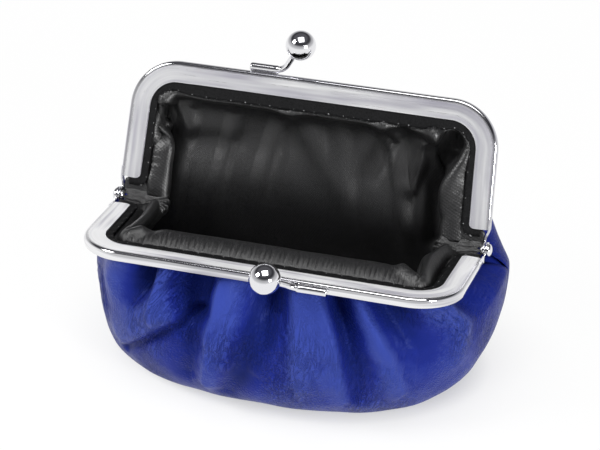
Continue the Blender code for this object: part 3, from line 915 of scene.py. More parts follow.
@dataclass(frozen=True)
class FrameHalf:
    """One half of the frame: the bent channel with its two ears."""

    side: Side
    steps: Steps = Steps(16, 34, 30)
    ear_thickness: float = 0.45 * MM
    ear_low: float = 0.25 * MM
    ear_high: float = 2.0 * MM
    ear_reach: float = 8.4 * MM
    eye_radius: float = 2.3 * MM
    rear_step: float = 0.75 * MM
    bend_from: float = 2.7 * MM
    bend_to: float = 5.6 * MM
    ear_edge: float = 0.07 * MM
    chord_spare: float = 0.02 * MM
    strip_rows: int = 22
    eye_rows: int = 25
    ear_columns: int = 7

    def channel(self) -> Mesh:
        """The channel, swept round the outline, with the flanges' lower corners rounded.

        Returns:
            The new mesh in edit form.
        """
        shape = FRAME_SHAPE
        rows = []
        for inset, depth in shape.section():
            round_end = shape.flange_end_radius
            past = max(0.0, inset - (shape.channel_height - round_end))
            rise = round_end - math.sqrt(max(0.0, round_end ** 2 - past ** 2))
            rows.append(shape.rim(self.side, inset, shape.flange_start + rise, depth, self.steps))
        return close_solid(lay_grid(np.array(rows), ring=True))

    def ear(self, hand: Hand) -> Mesh:
        """The narrow strip that runs on from the web, steps inward on the rear half, and ends in a round eye.

        Args:
            hand: the leg that it runs on from.

        Returns:
            The new mesh in edit form.
        """
        heights = np.concatenate((np.linspace(self.ear_reach, self.eye_radius, self.strip_rows),
                                  self.eye_radius * np.cos(np.linspace(0, math.pi, self.eye_rows))[1:]))
        chord = np.sqrt(np.clip(self.eye_radius ** 2 - heights ** 2, 0, None)) + self.chord_spare
        above = heights > 0
        low = np.where(heights > self.eye_radius, self.ear_low, -chord)
        high = np.where(above, np.maximum(self.ear_high, chord), chord)
        high = np.where(above | (chord < self.ear_high), high, chord)
        slope = (FRAME_SHAPE.hinge_half_width - FRAME_SHAPE.rail_half_width) / FRAME_SHAPE.height
        middle = FRAME_SHAPE.hinge_half_width - (FRAME_SHAPE.sheet - self.ear_thickness) / 2
        step = self.rear_step if self.side is Side.REAR else 0.0
        x = middle - heights * slope - step * (1 - smooth(self.bend_from, self.bend_to, heights))
        depth = low[:, None] + (high - low)[:, None] * np.linspace(0, 1, self.ear_columns)
        bm = lay_grid(in_half(self.side, x[:, None], heights[:, None], depth))
        bmesh.ops.recalc_face_normals(bm, faces=bm.faces)
        bm.normal_update()
        if sum(face.normal.x for face in bm.faces) < 0:
            bmesh.ops.reverse_faces(bm, faces=bm.faces)
        bmesh.ops.solidify(bm, geom=bm.faces, thickness=self.ear_thickness)
        bmesh.ops.recalc_face_normals(bm, faces=bm.faces)
        rim = [edge for edge in bm.edges if edge.calc_face_angle(0.0) > SHARP_EDGE]
        bmesh.ops.bevel(bm, geom=rim, offset=self.ear_edge, segments=2, profile=0.5, affect="EDGES",
                        material=-1, clamp_overlap=True)
        if hand is Hand.LEFT:
            bmesh.ops.scale(bm, vec=(-1, 1, 1), verts=bm.verts)
            bmesh.ops.reverse_faces(bm, faces=bm.faces)
        return bm

    def build(self, finishes: Finishes) -> None:
        """Makes the half and lets it ride on its body.

        Args:
            finishes: the purse's materials.
        """
        bm = joined([self.channel(), self.ear(Hand.RIGHT), self.ear(Hand.LEFT)])
        # Painted light or shade by half: the lighter chrome on the front, the darker on the rear.
        painted_chrome = finishes.front_chrome if self.side is Side.FRONT else finishes.rear_chrome
        piece = make_piece(f"{self.side.word}_frame_channel", bm, painted_chrome, 50)
        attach(piece, self.side.body)
        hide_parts(f"{self.side.word}_frame")


@dataclass(frozen=True)
class Clasp:
    """The soldered stem of one half and its ball."""

    side: Side
    rail_gap: float = 0.12 * MM
    sleeve_radius: float = 1.15 * MM
    rod_radius: float = 0.88 * MM
    sleeve_outer: float = 18.8 * MM
    sleeve_inner: float = 10.9 * MM
    rod_bend_at: float = 9.4 * MM
    bend_reach: float = 2.6 * MM
    collar_radius: float = 1.2 * MM
    collar_from: Pair = (1.1 * MM, 0.3 * MM)
    sleeve_edge: Pair = (0.25 * MM, 0.35 * MM)
    mouth_narrowing: float = 0.16
    mouth_length: float = 0.3 * MM
    ball_reach_share: float = 0.9
    path_steps: tuple[int, int, int] = (28, 18, 12)
    rod_sides: int = 28
    ball_segments: tuple[int, int] = (72, 36)

    def ball_place(self) -> tuple[Vector, float]:
        """The ball's centre and radius, from the frame."""
        low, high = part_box(f"{self.side.word}_clasp_ball")
        return (low + high) / 2, (high.x - low.x) / 2

    def rod_path(self) -> Grid:
        """The middle line of sleeve and rod, from the sleeve's outer end to the ball.

        Returns:
            The line's points.
        """
        centre, radius = self.ball_place()
        middle = FRAME_SHAPE.mating_clearance + FRAME_SHAPE.channel_depth / 2
        lying = FRAME_SHAPE.height + self.rail_gap + self.sleeve_radius
        flip = self.side.value
        outer, corner = (np.array(in_half(self.side, -flip * reach, lying, middle))
                         for reach in (self.sleeve_outer, self.rod_bend_at))
        ball = np.array(centre)
        toward = (ball - corner) / np.linalg.norm(ball - corner)
        along = (corner - outer) / np.linalg.norm(corner - outer)
        start, end = corner - along * self.bend_reach, corner + toward * self.bend_reach
        lying_steps, bend_steps, rest_steps = self.path_steps
        straight = outer + (start - outer) * np.linspace(0, 1, lying_steps)[:, None]
        t = np.linspace(0, 1, bend_steps)[1:, None]
        bend = start * (1 - t) ** 2 + 2 * corner * t * (1 - t) + end * t ** 2
        last = ball - toward * radius * self.ball_reach_share
        rest = end + (last - end) * np.linspace(0, 1, rest_steps)[1:, None]
        return np.vstack((straight, bend, rest))

    def build(self, finishes: Finishes) -> None:
        """Makes stem and ball and lets them ride on the half.

        Args:
            finishes: the purse's materials.
        """
        path = self.rod_path()
        gone = way_along(path)
        sleeve = self.sleeve_outer - self.sleeve_inner
        swell = 1 - smooth(sleeve - self.sleeve_edge[0], sleeve + self.sleeve_edge[1], gone)
        radii = self.rod_radius + (self.sleeve_radius - self.rod_radius) * swell
        radii = radii * (1 - self.mouth_narrowing * (1 - smooth(0, self.mouth_length, gone)))
        collar = smooth(gone[-1] - self.collar_from[0], gone[-1] - self.collar_from[1], gone)
        radii = radii + (self.collar_radius - self.rod_radius) * collar
        bm = sweep_tube(path, radii, self.rod_sides, heading(self.side))
        stem = make_piece(f"{self.side.word}_stem", bm, finishes.chrome)
        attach(stem, self.side.body)
        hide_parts(f"{self.side.word}_clasp_stem")
        centre, radius = self.ball_place()
        round_steps, tall_steps = self.ball_segments
        bm = bmesh.new()
        bmesh.ops.create_uvsphere(bm, u_segments=round_steps, v_segments=tall_steps, radius=radius,
                                  matrix=Matrix.Translation(centre))
        ball = make_piece(f"{self.side.word}_ball", bm, finishes.chrome)
        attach(ball, self.side.body)
        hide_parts(f"{self.side.word}_clasp_ball")


@dataclass(frozen=True)
class Rivet:
    """A rivet through two ears: a domed head with a rolled edge outside, and a spread tail inside."""

    hand: Hand
    shaft_radius: float = 0.95 * MM
    tail_radius: float = 1.5 * MM
    tail_inset: float = 1.35 * MM
    edge: float = 0.18 * MM
    head_gap: float = 0.02 * MM
    sides: int = 40

    def build(self, finishes: Finishes) -> None:
        """Makes the rivet and lets it ride on the bag.

        Args:
            finishes: the purse's materials.
        """
        node = f"hinge_rivet_{self.hand.name.lower()}"
        low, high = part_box(node)
        inner, outer = sorted((abs(low.x), abs(high.x)))
        head = (high.z - low.z) / 2
        seat = FRAME_SHAPE.hinge_half_width + self.head_gap
        tail_seat = FRAME_SHAPE.hinge_half_width - self.tail_inset
        profile = [(0.0, outer)]
        for angle in np.radians(np.linspace(10, 90, 9)):
            dome = (outer - seat - self.edge) * math.cos(angle)
            profile.append((head * math.sin(angle), seat + self.edge + dome))
        profile += [(head, seat), (self.shaft_radius, seat), (self.shaft_radius, tail_seat)]
        profile += [(self.tail_radius, tail_seat), (self.tail_radius, tail_seat - self.edge)]
        for angle in np.radians(np.linspace(80, 0, 6)):
            dome = (tail_seat - self.edge - inner) * math.cos(angle)
            profile.append((self.tail_radius * math.sin(angle), tail_seat - self.edge - dome))
        bm = spin_solid(profile, self.sides)
        bmesh.ops.scale(bm, vec=(self.hand.value, 1, 1), verts=bm.verts)
        bmesh.ops.translate(bm, vec=(0, 0, HINGE_HEIGHT), verts=bm.verts)
        bmesh.ops.recalc_face_normals(bm, faces=bm.faces)
        piece = make_piece(f"rivet_{self.hand.name.lower()}", bm, finishes.chrome, 50)
        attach(piece, "bag")
        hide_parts(node)


@dataclass(frozen=True)
class Fold:
    """A ridge, or with a negative height a valley, that runs over a panel through a line of places.

    A place is (share along the rim from the right hinge, share of the way from the rim to the base's seam). In
    the lining's folds it is the same two ways in millimetres.
    """

    line: Sequence[Pair]
    height: float
    right: float
    left: float
    fade: float = 0.85

    def lift(self, along: Grid, down: Grid, length: float, drop: float) -> Grid:
        """How far the fold moves each point of a panel outwards.

        Args:
            along: the points' shares along the rim.
            down: their shares of the way down.
            length: what the whole rim measures.
            drop: what the whole way down measures.

        Returns:
            A distance for each point.
        """
        line = np.array(self.line) * (length, drop)
        pieces = np.linalg.norm(np.diff(line, axis=0), axis=1)
        before = np.concatenate(((0.0,), np.cumsum(pieces))) / pieces.sum()
        nearest = np.full(along.shape, np.inf)
        lift = np.zeros(along.shape)
        for k, (first, last) in enumerate(zip(line, line[1:])):
            run = last - first
            dx, dy = along * length - first[0], down * drop - first[1]
            t = np.clip((dx * run[0] + dy * run[1]) / (run @ run), 0, 1)
            away = np.hypot(dx - t * run[0], dy - t * run[1])
            width = np.where(dx - t * run[0] > 0, self.left, self.right)
            gone = before[k] + (before[k + 1] - before[k]) * t
            here = self.height * np.exp(-(away / width) ** 2) * (1 - self.fade * gone ** 1.5)
            lift = np.where(away < nearest, here, lift)
            nearest = np.minimum(nearest, away)
        return lift


def outward_normals(side: Side, points: Grid) -> Grid:
    """The unit normals of a panel, by the cross product of its columns' and rows' directions.

    Args:
        side: the half whose panel it is.
        points: the panel's rows of points, each row from the right to the left.

    Returns:
        A direction out of the bag for each point.
    """
    normal = np.cross(np.gradient(points, axis=1), np.gradient(points, axis=0))
    size = np.linalg.norm(normal, axis=2, keepdims=True)
    return normal / np.maximum(size, TINY) * -side.value


def ripple(points: Grid, scale: float, seed: float) -> Grid:
    """Smooth noise from -1 to 1 at each point of a grid of points."""
    flat = points.reshape(-1, 3) * scale + seed
    return np.array([noise.noise(Vector(p)) for p in flat]).reshape(points.shape[:2])


def bezier(controls: Sequence[Grid], t: Grid) -> Grid:
    """Rows of a smooth surface held by rows of control points.

    Args:
        controls: the rows of control points, from the first edge to the last.
        t: the new rows' places between the two edges, from 0 to 1.

    Returns:
        The new rows of points.
    """
    layers = [control[None] for control in controls]
    t = t[:, None, None]
    while len(layers) > 1:
        layers = [first * (1 - t) + second * t for first, second in zip(layers, layers[1:])]
    return layers[0]


@dataclass(frozen=True)
class BagShape:
    """The gathered bag that hangs from the frame, as lofts that both the leather and the lining follow."""

    seam_behind_hinge: float = 3.0 * MM
    seam_gap: float = 0.15 * MM
    belly_right: float = 58.3 * MM
    belly_left: float = 56.9 * MM
    belly_reach: Pair = (45.0 * MM, 27.0 * MM)
    belly_drop_side: float = 7.5 * MM
    belly_drop_middle: float = 14.5 * MM
    base_right: float = 39.0 * MM
    base_left: float = 46.5 * MM
    base_reach: Pair = (25.0 * MM, 17.0 * MM)
    hood_side: float = 4.0 * MM
    hood_middle: Pair = (9.0 * MM, 24.0 * MM)
    hood_power: Pair = (2.5, 3.2)
    rim_gap: float = 0.3 * MM
    rim_turn: float = 1.1 * MM
    rim_drop: float = 2.7 * MM
    rim_start: float = 0.6 * MM
    leather_depth: float = 2.3 * MM
    tuck: float = 2.35 * MM
    oval_power: float = 2.4
    underside_power: float = 2.25
    left_fullness: float = 0.75
    left_shares: Pair = (0.55, 0.95)
    seam_line_share: float = 0.93
    steps: Steps = Steps(26, 38, 196)
    hood_rows: int = 56
    belly_rows: int = 46
    base_rows: int = 10

    def of(self, pair: Pair, side: Side) -> float:
        """The front or the rear one of two sizes."""
        return pair[0] if side is Side.FRONT else pair[1]

    def oval(self, side: Side, shares: Grid, right: float, left: float, reach: float) -> Grid:
        """Half an oval round the bag, from its right end to its left end.

        Args:
            side: the half that it goes round.
            shares: how far along it each point lies.
            right: its half width on the right.
            left: its half width on the left.
            reach: how far it reaches away from the bag's seam.

        Returns:
            Points (x, y).
        """
        angle = math.pi * shares
        power = 2 / self.oval_power
        cosine = np.cos(angle)
        x = np.where(cosine > 0, right, left) * np.sign(cosine) * np.abs(cosine) ** power
        y = self.seam_behind_hinge + side.value * (self.seam_gap + reach * np.abs(np.sin(angle)) ** power)
        return np.stack((x, y), axis=1)

    def smooth_rows(self, side: Side) -> tuple[Grid, Grid, Grid]:
        """The leather's outer face before its folds.

        Args:
            side: the half whose panel it is.

        Returns:
            The rows of points from the rim to the base's seam, each column's share along the rim, and each
            row's share of the way down.
        """
        shape = FRAME_SHAPE
        leave = shape.channel_height + self.rim_gap
        shares = shape.shares(leave, self.rim_start, self.steps)
        tucked = shape.rim(side, self.tuck, self.rim_start, self.leather_depth, self.steps)
        leaving = shape.rim(side, leave, self.rim_start, self.leather_depth, self.steps)
        turned = shape.rim(side, leave + self.rim_turn, self.rim_start, self.leather_depth + self.rim_drop,
                           self.steps)
        arch = np.sin(math.pi * shares)
        drop = self.belly_drop_side + (self.belly_drop_middle - self.belly_drop_side) * arch
        reach = self.of(self.belly_reach, side)
        bellies = np.column_stack((self.oval(side, shares, self.belly_right, self.belly_left, reach),
                                   HINGE_HEIGHT - drop))
        power = self.of(self.hood_power, side)
        hood = self.hood_side + (self.of(self.hood_middle, side) - self.hood_side) * arch ** power
        hoods = bellies + np.column_stack((np.zeros_like(hood), np.zeros_like(hood), hood))
        base_reach = self.of(self.base_reach, side)
        feet = np.column_stack((self.oval(side, shares, self.base_right, self.base_left, base_reach),
                                np.zeros_like(shares)))
        seam_y = self.seam_behind_hinge + side.value * self.seam_gap
        seam_x = feet[:, 0] * self.seam_line_share
        ends = np.column_stack((seam_x, np.full_like(shares, seam_y), np.zeros_like(shares)))
        upper = bezier((leaving, turned, hoods, bellies), np.linspace(0, 1, self.hood_rows + 1))
        angle = np.linspace(0, RIGHT_ANGLE, self.belly_rows + 1)[1:]
        power = self.underside_power + self.left_fullness * smooth(*self.left_shares, shares)
        out = np.clip(np.cos(angle), 0, 1)[:, None] ** (2 / power)
        down = np.sin(angle)[:, None] ** (2 / power)
        lower = feet + (bellies - feet) * out[:, :, None]
        lower[:, :, 2] = bellies[:, 2] * (1 - down)
        base = feet + (ends - feet) * np.linspace(0, 1, self.base_rows + 1)[1:, None, None]
        rows = np.concatenate((tucked[None], upper, lower, base))
        gone = way_along(rows[:, len(shares) // 2])
        return rows, shares, gone / gone[-1]


BAG_SHAPE = BagShape()
FRONT_FOLDS = (
    Fold(((0.135, 0.10), (0.125, 0.24), (0.135, 0.34)), -0.9 * MM, 4.0 * MM, 3.0 * MM),
    Fold(((0.192, 0.09), (0.178, 0.14), (0.165, 0.25), (0.168, 0.37)), 1.5 * MM, 2.6 * MM, 5.0 * MM),
    Fold(((0.300, 0.05), (0.290, 0.16), (0.268, 0.30)), -2.3 * MM, 5.5 * MM, 3.6 * MM),
    Fold(((0.334, 0.07), (0.336, 0.14), (0.328, 0.24), (0.310, 0.34), (0.290, 0.44)),
         1.8 * MM, 1.6 * MM, 3.6 * MM, 0.7),
    Fold(((0.378, 0.04), (0.384, 0.14), (0.384, 0.24), (0.374, 0.34), (0.368, 0.45)),
         -3.1 * MM, 3.6 * MM, 1.7 * MM, 0.8),
    Fold(((0.408, 0.07), (0.404, 0.20), (0.400, 0.33), (0.386, 0.46)), 1.7 * MM, 1.3 * MM, 4.4 * MM, 0.7),
    Fold(((0.448, 0.06), (0.455, 0.22), (0.460, 0.40)), 1.5 * MM, 4.5 * MM, 1.1 * MM, 0.6),
    Fold(((0.488, 0.04), (0.488, 0.14), (0.496, 0.24), (0.512, 0.36), (0.538, 0.50)),
         -3.0 * MM, 2.6 * MM, 2.6 * MM, 0.75),
    Fold(((0.478, 0.16), (0.484, 0.26), (0.500, 0.38)), 0.7 * MM, 1.3 * MM, 1.3 * MM, 0.4),
    Fold(((0.566, 0.06), (0.552, 0.20), (0.556, 0.33), (0.568, 0.46)), 1.9 * MM, 4.8 * MM, 1.2 * MM, 0.5),
    Fold(((0.596, 0.04), (0.578, 0.20), (0.580, 0.33), (0.592, 0.44)), -2.2 * MM, 1.2 * MM, 4.0 * MM, 0.6),
    Fold(((0.640, 0.04), (0.620, 0.12), (0.592, 0.19)), -2.4 * MM, 4.0 * MM, 3.6 * MM, 0.35),
    Fold(((0.592, 0.19), (0.602, 0.255), (0.632, 0.305), (0.690, 0.39), (0.750, 0.47)),
         -1.5 * MM, 1.6 * MM, 1.6 * MM, 0.4),
    Fold(((0.640, 0.24), (0.690, 0.32), (0.740, 0.40)), 1.3 * MM, 4.5 * MM, 5.5 * MM, 0.5),
    Fold(((0.682, 0.05), (0.662, 0.18), (0.654, 0.26)), 1.9 * MM, 3.4 * MM, 1.0 * MM, 0.8),
    Fold(((0.706, 0.04), (0.688, 0.15), (0.688, 0.23)), -3.0 * MM, 1.1 * MM, 4.6 * MM, 0.8),
    Fold(((0.765, 0.08), (0.775, 0.22), (0.770, 0.36)), 0.8 * MM, 4.5 * MM, 4.5 * MM),
)
BACK_FOLDS = tuple(
    Fold(((share, 0.05), (share + drift, 0.25), (share + 2 * drift, 0.50)), height * MM, right * MM, left * MM)
    for share, drift, height, right, left in (
        (0.215, -0.006, 0.8, 3.0, 3.0), (0.275, 0.004, -1.4, 3.4, 2.2), (0.325, 0.000, 1.1, 2.2, 3.6),
        (0.370, -0.006, -1.7, 3.4, 2.0), (0.415, 0.004, 1.0, 2.4, 3.4), (0.460, 0.000, -1.3, 3.2, 2.6),
        (0.510, 0.004, 1.2, 3.6, 2.2), (0.555, 0.008, -1.8, 2.2, 3.4), (0.600, 0.004, 1.0, 3.2, 2.4),
        (0.645, 0.000, -1.3, 2.4, 3.4), (0.690, -0.004, 1.1, 3.6, 2.4), (0.730, 0.004, -1.3, 2.4, 3.4),
        (0.785, 0.006, 0.8, 3.2, 3.2)))
FOLDS = {Side.FRONT: FRONT_FOLDS, Side.REAR: BACK_FOLDS}
FOLD_STRENGTH = {Side.FRONT: 1.75, Side.REAR: 1.0}
RIDGES_START_SHARES = (0.045, 0.090)
VALLEYS_START_SHARES = (0.03, 0.070)
FOLDS_END_SHARES = (0.45, 0.62)
SIDE_SHARE = 0.06


def folded(side: Side, along: Grid, down: Grid) -> Grid:
    """How far the leather's folds move each point outwards, which is nothing in the channel and under the base.

    Args:
        side: the half whose panel it is.
        along: the points' shares along the rim.
        down: their shares of the way down.

    Returns:
        A distance for each point.
    """
    lifts = [fold.lift(along, down, RIM_LENGTH, DROP_LENGTH) for fold in FOLDS[side]]
    ridges = sum(np.maximum(lift, 0) for lift in lifts) * smooth(*RIDGES_START_SHARES, down)
    valleys = sum(np.minimum(lift, 0) for lift in lifts) * smooth(*VALLEYS_START_SHARES, down)
    sides = smooth(0.0, SIDE_SHARE, along) * (1 - smooth(1.0 - SIDE_SHARE, 1.0, along))
    return (ridges + valleys) * (sides * (1 - smooth(*FOLDS_END_SHARES, down))) * FOLD_STRENGTH[side]


@dataclass(frozen=True)
class LeatherPanel:
    """The gathered leather of one half, with its pleats, creases and wrinkles."""

    side: Side
    thickness: float = 0.7 * MM
    ripple_height: float = 0.42 * MM
    ripple_count: float = 120.0
    crease_depth: float = 0.70 * MM
    crease_count: float = 62
    crease_lean: float = 9
    crease_rows: float = 13
    crease_narrowness: float = 9
    fine_share: float = 0.5
    fine_counts: Triple = (1.9, 2.3, 1.0)
    fine_narrowness: float = 8
    patch_counts: Triple = (0.16, 0.3, 1.0)
    relief_scale: float = 1.6 * MM

    def creases(self, along: Grid, down: Grid) -> Grid:
        """The small wrinkles that fan out from the rim.

        Args:
            along: the points' shares along the rim.
            down: their shares of the way down.

        Returns:
            A depth for each point, below zero.
        """
        across = along * self.crease_count + down * self.crease_lean
        seeds = np.full_like(along, 4.0 + self.side.value)
        places = np.stack((across, down * self.crease_rows, seeds), axis=-1)
        lines = np.abs(ripple(places, 1.0, 0.0))
        fine = np.abs(ripple(places * self.fine_counts, 1.0, 7.0))
        patches = smooth(-0.05, 0.4, ripple(places * self.patch_counts, 1.0, 3.0))
        near = smooth(0.05, 0.09, down) * (1 - smooth(0.22, 0.50, down))
        fine = self.fine_share * np.exp(-fine * self.fine_narrowness)
        return -self.crease_depth * patches * near * (np.exp(-lines * self.crease_narrowness) + fine)

    def surface(self) -> tuple[Grid, Grid, Grid]:
        """The folded leather's outer face.

        Returns:
            Its rows of points, the outward unit direction at each point, and how far each one is lifted.
        """
        rows, shares, downs = BAG_SHAPE.smooth_rows(self.side)
        normals = outward_normals(self.side, rows)
        along, down = np.meshgrid(shares, downs)
        free = smooth(0.03, 0.08, down) * (1 - smooth(0.55, 0.66, down)) * smooth(0.0, 0.05, along)
        free = free * (1 - smooth(0.95, 1.0, along))
        waves = ripple(rows, self.ripple_count, 3.0 + self.side.value)
        wavy = self.ripple_height * waves + self.creases(along, down)
        lift = folded(self.side, along, down) + wavy * free
        return rows + normals * lift[:, :, None], normals, lift

    def build(self, finishes: Finishes) -> None:
        """Makes the panel and bakes its placement into its mesh.

        Args:
            finishes: the purse's materials.
        """
        rows, _, lift = self.surface()
        bm = lay_grid(rows, flip=self.side is Side.REAR)
        piece = make_piece(f"{self.side.panel}_leather", bm, finishes.leather, 180)
        # The relief attribute paints shade into the fold hollows and light onto the ridges, through the
        # leather's colour.
        relief = piece.data.attributes.new("relief", "FLOAT", "POINT")
        relief.data.foreach_set("value", 0.5 + 0.5 * np.tanh(lift.ravel() / self.relief_scale))
        thicken(piece, self.thickness)
        follow_half(piece, self.side)
        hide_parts(f"leather_{self.side.panel}_panel")


def follow_half(piece: bpy.types.Object, side: Side) -> None:
    """Bakes a soft panel's placement into its mesh; both halves are treated alike.

    Args:
        piece: the panel.
        side: the half.
    """
    if side is Side.FRONT:
        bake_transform(piece)
    else:
        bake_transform(piece)


LINING_FOLDS = {
    Side.REAR: (
        Fold(((112.0, 2.5), (108.0, 9.0), (104.5, 17.0), (103.0, 25.0)), -2.2 * MM, 1.6 * MM, 1.8 * MM, 0.6),
        Fold(((106.0, 3.5), (101.5, 9.0), (98.0, 15.0)), 1.3 * MM, 2.6 * MM, 1.4 * MM, 0.7),
        Fold(((104.0, 18.0), (96.0, 20.0), (84.0, 20.5)), -1.0 * MM, 3.2 * MM, 4.2 * MM, 0.7),
        Fold(((98.0, 27.0), (88.0, 30.0), (72.0, 27.0)), 0.8 * MM, 6.0 * MM, 6.0 * MM, 0.6),
        Fold(((25.0, 4.0), (29.0, 12.0), (34.5, 25.0)), 2.2 * MM, 1.3 * MM, 2.6 * MM, 0.5),
        Fold(((20.5, 6.0), (24.0, 13.0), (28.0, 25.0), (30.0, 38.0)), -3.0 * MM, 2.4 * MM, 2.2 * MM, 0.3),
        Fold(((38.0, 3.0), (42.0, 12.0), (49.0, 24.0)), 1.0 * MM, 1.6 * MM, 3.0 * MM, 0.7),
        Fold(((33.0, 4.0), (38.0, 14.0), (45.0, 26.0)), -0.8 * MM, 1.6 * MM, 1.6 * MM, 0.7),
        Fold(((70.0, 6.0), (64.0, 16.0), (54.0, 30.0)), 0.9 * MM, 4.5 * MM, 3.5 * MM, 0.5),
        Fold(((17.0, 2.0), (13.0, 3.0), (5.0, 5.0)), 0.9 * MM, 1.0 * MM, 1.0 * MM, 0.3),
        Fold(((120.0, 2.0), (124.0, 3.5), (128.0, 5.0)), 0.7 * MM, 0.9 * MM, 0.9 * MM, 0.3)),
    Side.FRONT: (
        Fold(((150.0, 5.5), (140.0, 8.5), (126.0, 9.0), (113.0, 8.0)), 2.2 * MM, 1.4 * MM, 1.4 * MM, 0.2),
        Fold(((142.0, 3.5), (128.0, 4.0), (117.0, 4.0)), -2.4 * MM, 2.0 * MM, 2.0 * MM, 0.2),
        Fold(((134.0, 0.8), (126.0, 2.0), (119.0, 1.2)), 0.9 * MM, 0.8 * MM, 0.8 * MM, 0.2),
        Fold(((3.0, 6.0), (12.0, 8.0), (24.0, 8.5), (34.0, 8.0)), 2.0 * MM, 1.5 * MM, 1.5 * MM, 0.2),
        Fold(((8.0, 3.5), (18.0, 4.0), (28.0, 4.0)), -1.8 * MM, 1.8 * MM, 1.8 * MM, 0.2),
        Fold(((12.0, 10.0), (20.0, 13.0), (30.0, 12.0)), 1.2 * MM, 1.2 * MM, 1.2 * MM, 0.3)),
}


@dataclass(frozen=True)
class Cut:
    """The cloth that a panel is cut from, in metres, and the area that the panel uses, in square metres."""

    width: float
    length: float
    area: float


@dataclass(frozen=True)
class Band:
    """The sizes of the puffed band that the lining makes beside the facing, on one stretch of the frame."""

    width: float
    crown: float
    roll: float


